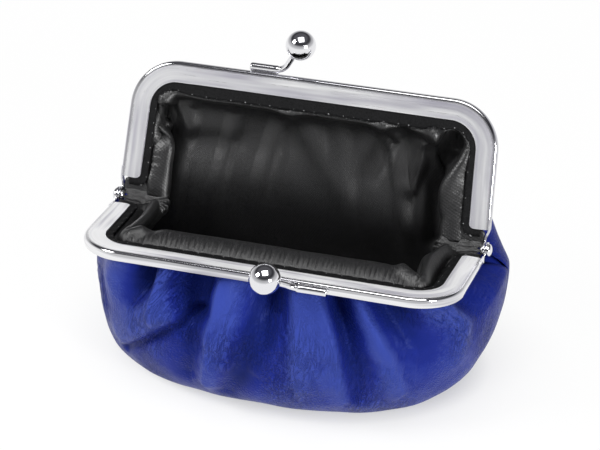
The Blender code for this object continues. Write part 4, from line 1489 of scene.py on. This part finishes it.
@dataclass(frozen=True)
class LiningPanel:
    """The black lining of one half: a puffed, gathered band along the frame that turns down into the bag."""

    side: Side
    thickness: float = 0.25 * MM
    edge_inset: float = 0.8 * MM
    foot_inset: float = -4.6 * MM
    band_inset: Pair = (1.9 * MM, 3.3 * MM)
    band_depth: float = 1.75 * MM
    foot_depth: float = 1.0 * MM
    legs: tuple[Band, Band] = (Band(4.6 * MM, 1.0 * MM, 1.2 * MM), Band(5.2 * MM, 0.7 * MM, 0.9 * MM))
    corners: tuple[Band, Band] = (Band(2.2 * MM, 0.8 * MM, 0.9 * MM), Band(0.8 * MM, 0.3 * MM, 0.7 * MM))
    rails: tuple[Band, Band] = (Band(7.6 * MM, 3.4 * MM, 2.4 * MM), Band(0.2 * MM, 0.1 * MM, 0.7 * MM))
    hidden_rows: int = 9
    band_rows: int = 26
    bridge_rows: int = 24
    body_inset: float = 2.6 * MM
    floor_share: float = 0.6
    slack: Pair = (3.0 * MM, 15.0 * MM)
    hang_start_shares: Pair = (0.08, 0.42)
    hang_end_shares: Pair = (0.60, 0.85)
    rim_start: float = 1.2 * MM
    steps: Steps = Steps(34, 28, 170)
    leg_shares: Pair = (0.62, 0.82)
    rail_shares: Pair = (0.40, 0.56)
    foot_heights: Pair = (4.5 * MM, 8.0 * MM)
    bridge_reach_share: float = 0.4
    gather_pitch: float = 1.3 * MM
    gather_height: float = 0.34 * MM
    gather_counts: Pair = (90, 0.02)
    gather_drift: float = 3.0
    gather_strength: Pair = (0.6, 0.5)
    clearance: float = 1.1 * MM
    fold_strength: float = 1.5
    ripple_height: float = 0.9 * MM
    ripple_counts: Pair = (17, 0.035)
    ripple_rows: int = 40

    def rail(self, shares: Grid) -> Grid:
        """How much each share along the rim belongs to the rail, from 0 on the corners to 1 in the middle."""
        return 1 - smooth(*self.rail_shares, np.abs(shares - 0.5) * 2)

    def band(self, shares: Grid) -> dict[str, Grid]:
        """The band's sizes along the rim, smoothly from the legs over the corners to the rail.

        Args:
            shares: the points' shares along the rim.

        Returns:
            The band's width, crown and roll at each point, by those names.
        """
        leg = smooth(*self.leg_shares, np.abs(shares - 0.5) * 2)
        rail = self.rail(shares)
        corner = 1 - leg - rail
        pick = 0 if self.side is Side.FRONT else 1
        return {name: leg * getattr(self.legs[pick], name) + corner * getattr(self.corners[pick], name)
                + rail * getattr(self.rails[pick], name) for name in ("width", "crown", "roll")}

    def inner_rows(self, bag: BagShape) -> tuple[Grid, Grid]:
        """The part of the lining inside the leather, which hangs slack under the band.

        Args:
            bag: the bag's shape with the lining's own columns.

        Returns:
            Its rows of points, and its columns' shares along the rim.
        """
        body, shares, downs = bag.smooth_rows(self.side)
        outward = outward_normals(self.side, body)
        valleys = np.minimum(folded(self.side, *np.meshgrid(shares, downs)), 0)
        hang = smooth(*self.hang_start_shares, downs)[:, None]
        slack = bag.of(self.slack, self.side) * hang * np.sin(math.pi * shares) ** 0.7
        inside = body + outward * (valleys - self.body_inset)[:, :, None]
        inside[:, :, 1] -= self.side.value * slack * (1 - smooth(*self.hang_end_shares, downs))[:, None]
        inside[:, :, 2] = np.maximum(inside[:, :, 2], self.body_inset * self.floor_share)
        return inside, shares

    def band_points(self, shares: Grid) -> Grid:
        """The part of the lining beside the facing, from its hidden edge over the puffed band.

        Args:
            shares: its columns' shares along the rim.

        Returns:
            Its rows of points.
        """
        shape = FRAME_SHAPE
        band = self.band(shares)
        flat, _ = shape.line(self.rim_start, self.steps)
        foot = 1 - smooth(*self.foot_heights, flat[:, 1])
        outer = self.edge_inset + (self.foot_inset - self.edge_inset) * foot
        start = self.band_inset[0] + (self.band_inset[1] - self.band_inset[0]) * self.rail(shares)
        rows = []
        for t in np.linspace(0, 1, self.hidden_rows):
            inset = shape.channel_height + outer + (start - outer) * t
            depth = self.band_depth + (self.foot_depth - self.band_depth) * foot * (1 - t)
            rows.append(shape.rim(self.side, inset, self.rim_start, depth, self.steps))
        for t in np.linspace(0, 1, self.band_rows + 1)[1:]:
            inset = shape.channel_height + start + (band["width"] + band["roll"]) * math.sin(RIGHT_ANGLE * t)
            depth = self.band_depth - band["crown"] * math.sin(math.pi * t ** 0.8) + band["roll"] * t ** 3
            rows.append(shape.rim(self.side, inset, self.rim_start, depth, self.steps))
        return np.array(rows)

    def rows(self) -> tuple[Grid, Grid, Grid]:
        """The lining's outer face before its gathers and folds.

        Returns:
            The rows of points from the facing down, each column's share along the rim, and each row's share
            of the way down.
        """
        bag = BagShape(steps=self.steps, rim_start=self.rim_start)
        inside, shares = self.inner_rows(bag)
        band = self.band_points(shares)
        turn = band[-1]
        join = bag.hood_rows // 2
        target = inside[join]
        falling = inside[join + 1] - inside[join]
        falling /= np.maximum(np.linalg.norm(falling, axis=1, keepdims=True), TINY)
        span = np.linalg.norm(target - turn, axis=1, keepdims=True)
        above = turn + heading(self.side) * span * self.bridge_reach_share
        before = target - falling * span * self.bridge_reach_share
        bridge = bezier((turn, above, before, target), np.linspace(0, 1, self.bridge_rows))[1:]
        rows = np.concatenate((band, bridge, inside[join + 1:]))
        gone = way_along(rows[:, len(shares) // 2])
        return rows, shares, gone / gone[-1]

    def lifts(self, rows: Grid, along: Grid, row_index: Grid) -> Grid:
        """The gathers beside the facing and the slack folds further in.

        Args:
            rows: the lining's rows of points.
            along: the points' shares along the rim.
            row_index: the numbers of their rows.

        Returns:
            A distance outwards for each point.
        """
        phase = along * RIM_LENGTH / self.gather_pitch * 2 * math.pi
        across, down = self.gather_counts
        places = np.stack((along * across, row_index * down, np.full_like(along, self.side.value)), axis=-1)
        least, more = self.gather_strength
        gathers = np.cos(phase + self.gather_drift * ripple(places, 1.0, 9.0))
        gathers = gathers * (least + more * ripple(places, 2.0, 5.0))
        begin = self.hidden_rows
        near = smooth(begin - 3, begin + 2, row_index) * (1 - smooth(begin + 3, begin + 12, row_index))
        slack = smooth(begin, begin + self.ripple_rows, row_index)
        across, down = self.ripple_counts
        seeds = np.full_like(along, 31.0 * self.side.value)
        wide = np.stack((along * across, row_index * down, seeds), axis=-1)
        across, down = np.meshgrid(gone_along(rows.transpose(1, 0, 2)), gone_along(rows))
        folds = sum(fold.lift(across / MM, down / MM, MM, MM) for fold in LINING_FOLDS[self.side])
        shown = smooth(begin - 2, begin + 2, row_index)
        return (self.gather_height * gathers * near + self.ripple_height * ripple(wide, 1.0, 0.5) * slack
                - self.fold_strength * folds * shown)

    def kept_inside(self, rows: Grid) -> Grid:
        """Moves the lining in wherever it comes too near the leather around it.

        Args:
            rows: the lining's rows of points.

        Returns:
            The rows, at least the clearance inside the leather from the band on.
        """
        leather, outward, _ = LeatherPanel(self.side).surface()
        places, outward = leather[4:].reshape(-1, 3), outward[4:].reshape(-1, 3)
        tree = KDTree(len(places))
        for index, place in enumerate(places):
            tree.insert(place, index)
        tree.balance()
        kept = rows.copy()
        for row in range(self.hidden_rows + 4, len(rows)):
            for column in range(rows.shape[1]):
                _, index, _ = tree.find(rows[row, column])
                gap = (rows[row, column] - places[index]) @ outward[index] + self.clearance
                if gap > 0:
                    kept[row, column] = rows[row, column] - outward[index] * gap
        return kept

    def build(self, finishes: Finishes) -> None:
        """Makes the lining and bakes its placement into its mesh.

        Args:
            finishes: the purse's materials.
        """
        rows, shares, downs = self.rows()
        normals = outward_normals(self.side, rows)
        along, down = np.meshgrid(shares, downs)
        row_index = np.repeat(np.arange(len(rows), dtype=float)[:, None], len(shares), axis=1)
        free = smooth(0.0, 0.03, along) * (1 - smooth(0.97, 1.0, along)) * (1 - smooth(0.80, 0.9, down))
        rows = self.kept_inside(rows + normals * (self.lifts(rows, along, row_index) * free)[:, :, None])
        bm = lay_grid(rows, flip=self.side is Side.REAR)
        piece = make_piece(f"{self.side.panel}_lining", bm, finishes.twill, 180)
        thicken(piece, self.thickness)
        follow_half(piece, self.side)
        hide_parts(f"lining_{self.side.panel}_panel")


@dataclass(frozen=True)
class LiningGusset:
    """The slack cloth of the lining between the feet of the two halves, on the inside of a hinge."""

    hand: Hand
    thickness: float = 0.25 * MM
    station: int = 2
    last_row: int = 68
    columns: int = 36
    bulge: float = 1.8 * MM
    pucker: float = 0.75 * MM
    pucker_count: float = 3.5
    pucker_sway: float = 1.6
    sway_per_row: float = 0.17
    pucker_fade: float = 0.6
    lump: float = 0.9 * MM
    lump_count: float = 420.0
    lump_lean: Pair = (0.5, 0.9)

    def build(self, finishes: Finishes) -> None:
        """Makes the gusset and lets it ride on the bag.

        Args:
            finishes: the purse's materials.
        """
        ends = {}
        for side in Side:
            rows, _, _ = LiningPanel(side).rows()
            rows = rows if self.hand is Hand.RIGHT else rows[:, ::-1]
            ends[side] = rows[:self.last_row, self.station]
        front, rear = ends[Side.FRONT], ends[Side.REAR]
        inward = np.array((-float(self.hand.value), 0.0, 0.0))
        down = np.array((0.0, 0.0, -1.0))
        middle = (front + rear) / 2 + inward * self.bulge + down * self.bulge
        points = bezier((front, middle, rear), np.linspace(0, 1, self.columns + 1)).transpose(1, 0, 2)
        t = np.linspace(0, 1, self.columns + 1)
        row = np.arange(self.last_row, dtype=float)[:, None]
        sway = self.pucker_sway * np.sin(row * self.sway_per_row)
        fold = np.sin(t * self.pucker_count * 2 * math.pi + sway) * np.sin(math.pi * t)
        fade = 1 - self.pucker_fade * row / self.last_row
        points = points + inward * (self.pucker * fold * fade)[:, :, None]
        lumps = ripple(points, self.lump_count, 2.0 * self.hand.value)
        lumps = lumps * np.sin(math.pi * t) ** 0.7 * smooth(-1, 6, row)
        lean = inward * self.lump_lean[0] - down * self.lump_lean[1]
        points = points + lean * (self.lump * lumps)[:, :, None]
        bm = lay_grid(points, flip=self.hand is Hand.LEFT)
        piece = make_piece(f"lining_gusset_{self.hand.name.lower()}", bm, finishes.twill, 180)
        thicken(piece, self.thickness)
        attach(piece, "bag")


@dataclass(frozen=True)
class Facing:
    """The black strip glued in the channel, with the row of stitches that gathers the lining to it."""

    side: Side
    steps: Steps = Steps(30, 24, 110)
    inside_channel: float = 3.2 * MM
    rail_edge: float = 3.2 * MM
    leg_edge: float = 1.9 * MM
    depth: float = 0.95 * MM
    thickness: float = 0.4 * MM
    start: float = 3.4 * MM
    end_radius: float = 2.6 * MM
    wave_height: float = 0.12 * MM
    stitch_inset: float = 0.35 * MM
    stitch_length: float = 0.8 * MM
    stitch_pitch: float = 1.4 * MM
    stitch_radius: float = 0.23 * MM
    stitch_line: Steps = Steps(60, 40, 240)
    stitch_arch: Pair = (0.16 * MM, 0.10 * MM)
    stitch_rings: int = 6
    strip_rows: int = 12
    rail_shares: Pair = (0.62, 0.86)
    wave_count: int = 41
    wave_sway: float = 1.3
    sway_count: float = 23
    wave_reach: float = 0.8

    def edge(self, steps: Steps) -> Grid:
        """How far the strip stands out of the channel: less on the legs, and rounded off at its two ends.

        Args:
            steps: how finely its line is divided.

        Returns:
            A distance for each point along the strip.
        """
        flat, _ = FRAME_SHAPE.line(self.start, steps)
        from_middle = np.abs(flat[:, 0]) / FRAME_SHAPE.rail_half_width
        rail = 1 - smooth(*self.rail_shares, from_middle)
        end = np.clip((flat[:, 1] - flat[:, 1].min()) / self.end_radius, 0, 1)
        rounded = self.end_radius * (1 - np.sqrt(1 - (1 - end) ** 2))
        return self.leg_edge + (self.rail_edge - self.leg_edge) * rail - rounded

    def strip(self) -> Mesh:
        """The strip, slightly wavy along its free edge.

        Returns:
            The new mesh in edit form.
        """
        shape = FRAME_SHAPE
        shares = shape.shares(shape.channel_height, self.start, self.steps)
        edge = self.edge(self.steps)
        rows = []
        for share in np.linspace(0, 1, self.strip_rows):
            inset = shape.channel_height - self.inside_channel + (self.inside_channel + edge) * share
            free = max(0.0, share - 0.5) * 2
            phase = shares * 2 * math.pi * self.wave_count + self.wave_sway * np.sin(shares * self.sway_count)
            wave = self.wave_height * free * np.cos(phase)
            inset = inset + wave * self.wave_reach
            rows.append(shape.rim(self.side, inset, self.start, self.depth + wave, self.steps))
        return lay_grid(np.array(rows), flip=self.side is Side.REAR)

    def stitches(self) -> Mesh:
        """Short thread stitches along the strip's free edge.

        Returns:
            The new mesh in edit form.
        """
        shape = FRAME_SHAPE
        high, sunk = self.stitch_arch
        inset = shape.channel_height + self.edge(self.stitch_line) - self.stitch_inset
        line = shape.rim(self.side, inset, self.start, self.depth - sunk, self.stitch_line)
        gone = way_along(line)
        out = heading(self.side, -1.0)
        t = np.linspace(0, 1, self.stitch_rings)
        hump = np.sin(math.pi * t)[:, None]
        radii = self.stitch_radius * (0.55 + 0.45 * hump[:, 0])
        parts = []
        for first in np.arange(0.0, gone[-1] - self.stitch_length, self.stitch_pitch):
            at = first + self.stitch_length * t
            path = np.stack([np.interp(at, gone, line[:, k]) for k in range(3)], axis=1)
            parts.append(sweep_tube(path + out * (high * hump - sunk), radii, 6, out))
        return joined(parts)

    def build(self, finishes: Finishes) -> None:
        """Makes strip and stitches and lets them ride on the half.

        Args:
            finishes: the purse's materials.
        """
        strip = make_piece(f"{self.side.word}_facing_strip", self.strip(), finishes.facing,
                           180)
        thicken(strip, self.thickness)
        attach(strip, self.side.body)
        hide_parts(f"{self.side.word}_facing")
        thread = make_piece(f"{self.side.word}_gather_stitches", self.stitches(), finishes.thread)
        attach(thread, self.side.body)
        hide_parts(f"{self.side.word}_gather_thread")


@dataclass(frozen=True)
class SideGusset:
    """A folded leather gusset inside the side seam, which shows under the hinge when the frame shuts."""

    hand: Hand
    inset: float = 1.3 * MM
    thickness: float = 0.4 * MM
    first_row: int = 18
    last_row: int = 96
    stations: int = 16

    def build(self, finishes: Finishes) -> None:
        """Makes the gusset and lets it ride on the bag.

        Args:
            finishes: the purse's materials.
        """
        halves = {}
        for side in Side:
            rows, _, _ = BAG_SHAPE.smooth_rows(side)
            rows = rows - outward_normals(side, rows) * self.inset
            halves[side] = rows[self.first_row:self.last_row, 1:self.stations]
        points = np.concatenate((halves[Side.FRONT][:, ::-1], halves[Side.REAR]), axis=1)
        if self.hand is Hand.LEFT:
            points = points * np.array((-1.0, 1.0, 1.0))
        bm = lay_grid(points, flip=self.hand is Hand.RIGHT)
        piece = make_piece(f"gusset_{self.hand.name.lower()}", bm, finishes.leather, 180)
        relief = piece.data.attributes.new("relief", "FLOAT", "POINT")
        relief.data.foreach_set("value", np.full(len(piece.data.vertices), 0.5))
        thicken(piece, self.thickness)
        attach(piece, "bag")
        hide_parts(f"side_gusset_{self.hand.name.lower()}")


@dataclass(frozen=True)
class Lamp:
    """A square soft lamp: its place, its side in metres and its power in watts."""

    name: str
    place: Triple
    size: float
    power: float
    mirrored: bool = True

    def build(self, target: Triple) -> None:
        """Makes the lamp and aims it.

        Args:
            target: the place that it shines at.
        """
        data = bpy.data.lights.new(self.name, "AREA")
        data.shape = "SQUARE"
        data.size = self.size
        data.energy = self.power
        lamp = bpy.data.objects.new(self.name, data)
        lamp.location = self.place
        lamp.rotation_euler = (Vector(self.place) - Vector(target)).to_track_quat("Z", "Y").to_euler()
        lamp.visible_glossy = self.mirrored
        bpy.context.scene.collection.objects.link(lamp)


@dataclass(frozen=True)
class Studio:
    """A white floor, plain soft light and the camera at the photograph's angle."""

    azimuth: float = 15.79
    elevation: float = 32.79
    distance: float = 561.1 * MM
    target: Triple = (0.0, 1.3 * MM, 40.17 * MM)
    lens: float = 121.72
    sensor: float = 36.0
    floor_size: float = 6.0
    floor_colour: float = 0.95
    floor_roughness: float = 0.9
    floor_specular: float = 0.1
    # The share of painted white glow on the floor, rising with the distance from the purse's footprint.
    floor_lift: tuple[Pair, ...] = ((0.84, 0.03), (0.95, 0.36), (1.16, 0.74), (1.70, 0.94))
    footprint: Pair = (48 * MM, 30 * MM)
    ring_radius: float = 1.3
    ring_height: float = 1.7
    ring_sides: int = 96
    ring_shades: tuple[tuple[float, Triple], ...] = (
        (0.00, (0.95, 0.95, 0.95)), (0.12, (0.62, 0.62, 0.63)), (0.30, (0.46, 0.46, 0.47)),
        (0.40, (0.16, 0.16, 0.17)), (0.55, (0.03, 0.03, 0.035)), (1.00, (0.10, 0.10, 0.11)))
    fill: Pair = (0.20, 1.0)
    lamps: tuple[Lamp, ...] = (
        Lamp("key", (-0.55, -0.35, 0.62), 0.30, 3.9),
        Lamp("top", (0.10, -0.20, 0.90), 0.60, 4.2),
        Lamp("front", (-0.45, -0.95, 0.48), 0.30, 2.2, mirrored=False),
        Lamp("right", (0.85, -0.60, 0.34), 0.25, 7.2))

    def camera(self) -> None:
        """The camera, aimed from its azimuth towards +X and its elevation."""
        azimuth, elevation = math.radians(self.azimuth), math.radians(self.elevation)
        back = Vector((math.sin(azimuth) * math.cos(elevation), -math.cos(azimuth) * math.cos(elevation),
                       math.sin(elevation)))
        data = bpy.data.cameras.new("camera")
        data.lens = self.lens
        data.sensor_width = self.sensor
        data.clip_start = 0.01
        camera = bpy.data.objects.new("camera", data)
        camera.location = Vector(self.target) + back * self.distance
        camera.rotation_euler = back.to_track_quat("Z", "Y").to_euler()
        bpy.context.scene.collection.objects.link(camera)
        bpy.context.scene.camera = camera

    def seen(self, nodes: Nodes) -> Socket:
        """Adds a test for rays from the eye and for those that the metal mirrors.

        Args:
            nodes: the tree.

        Returns:
            The socket that is 1 for those rays and 0 for all others.
        """
        path = nodes.add("LightPath")
        direct = nodes.math("ADD", path.outputs["Is Camera Ray"], path.outputs["Is Glossy Ray"])
        return nodes.math("ADD", direct, path.outputs["Is Transmission Ray"])

    def floor(self) -> None:
        """A pale floor that keeps the purse's soft shadow, with a painted white glow that grows away from it.
        """
        nodes = MaterialNodes("floor")
        nodes.shader.inputs["Base Color"].default_value = (self.floor_colour,) * 3 + (1,)
        nodes.shader.inputs["Roughness"].default_value = self.floor_roughness
        nodes.shader.inputs["Specular IOR Level"].default_value = self.floor_specular
        white = nodes.add("Emission", Color=(1, 1, 1, 1), Strength=1.0)
        across, deep = self.footprint
        place = nodes.add("VectorMath", operation="LENGTH", Vector=nodes.place((1 / across, 1 / deep, 0)))
        lift = nodes.ramp(nodes.math("MULTIPLY", place.outputs["Value"], 0.5),
                          [(at / 2, (share,) * 3) for at, share in self.floor_lift])
        mix = nodes.add("MixShader", Fac=nodes.math("MULTIPLY", self.seen(nodes), lift))
        nodes.put(mix.inputs[1], nodes.shader.outputs["BSDF"])
        nodes.put(mix.inputs[2], white.outputs["Emission"])
        nodes.put(nodes.output.inputs["Surface"], mix.outputs["Shader"])
        bm = bmesh.new()
        bmesh.ops.create_grid(bm, x_segments=1, y_segments=1, size=self.floor_size)
        floor = make_object("floor", bm, nodes.material)

    def ring(self) -> None:
        """A round screen that only the metal reflects, pale at the bottom and dark above, with a dark lid."""
        nodes = MaterialNodes("screen")
        height = nodes.add("SeparateXYZ", Vector=nodes.add("TexCoord").outputs["Object"]).outputs["Z"]
        shade = nodes.ramp(nodes.spread(height, (0.0, self.ring_height)), self.ring_shades)
        glow = nodes.add("Emission", Color=shade, Strength=1.0)
        nodes.put(nodes.output.inputs["Surface"], glow.outputs["Emission"])
        bm = bmesh.new()
        bmesh.ops.create_cone(bm, cap_ends=False, segments=self.ring_sides, radius1=self.ring_radius,
                              radius2=self.ring_radius, depth=self.ring_height,
                              matrix=Matrix.Translation((0, 0, self.ring_height / 2)))
        bmesh.ops.create_circle(bm, cap_ends=True, segments=self.ring_sides, radius=self.ring_radius,
                                matrix=Matrix.Translation((0, 0, self.ring_height)))
        screen = make_object("screen", bm, nodes.material)
        for sight in ("camera", "diffuse", "transmission", "volume_scatter", "shadow"):
            setattr(screen, f"visible_{sight}", False)

    def world(self) -> None:
        """White surroundings for the eye and for the metal, and a plain soft fill for everything else."""
        world = bpy.data.worlds.new("studio")
        world.use_nodes = True
        bpy.context.scene.world = world
        nodes = Nodes(world.node_tree)
        background = nodes.tree.nodes["Background"]
        background.inputs["Color"].default_value = (1, 1, 1, 1)
        strength = nodes.spread(self.seen(nodes), (0.0, 1.0), self.fill)
        nodes.put(background.inputs["Strength"], strength)

    def build(self) -> None:
        """Makes the whole studio."""
        self.camera()
        self.floor()
        self.ring()
        self.world()
        for lamp in self.lamps:
            lamp.build(self.target)
        bpy.context.scene.view_settings.view_transform = "Standard"


def dress_cords(finishes: Finishes) -> None:
    """Gives the paper cords inside the channels their finish.

    Args:
        finishes: the purse's materials.
    """
    for side in Side:
        cord = frame["nodes"][f"{side.word}_channel_cord"]
        for slot in cord.material_slots:
            slot.material = finishes.paper


def main() -> None:
    """Builds the studio and the purse, piece by piece."""
    logging.basicConfig(level=logging.INFO, format="%(name)s: %(message)s")
    Studio().build()
    finishes = Finishes()
    for side in Side:
        FrameHalf(side).build(finishes)
        Clasp(side).build(finishes)
        LeatherPanel(side).build(finishes)
        LiningPanel(side).build(finishes)
        Facing(side).build(finishes)
    for hand in Hand:
        Rivet(hand).build(finishes)
        SideGusset(hand).build(finishes)
        LiningGusset(hand).build(finishes)
    dress_cords(finishes)


if __name__ == "__main__":
    main()
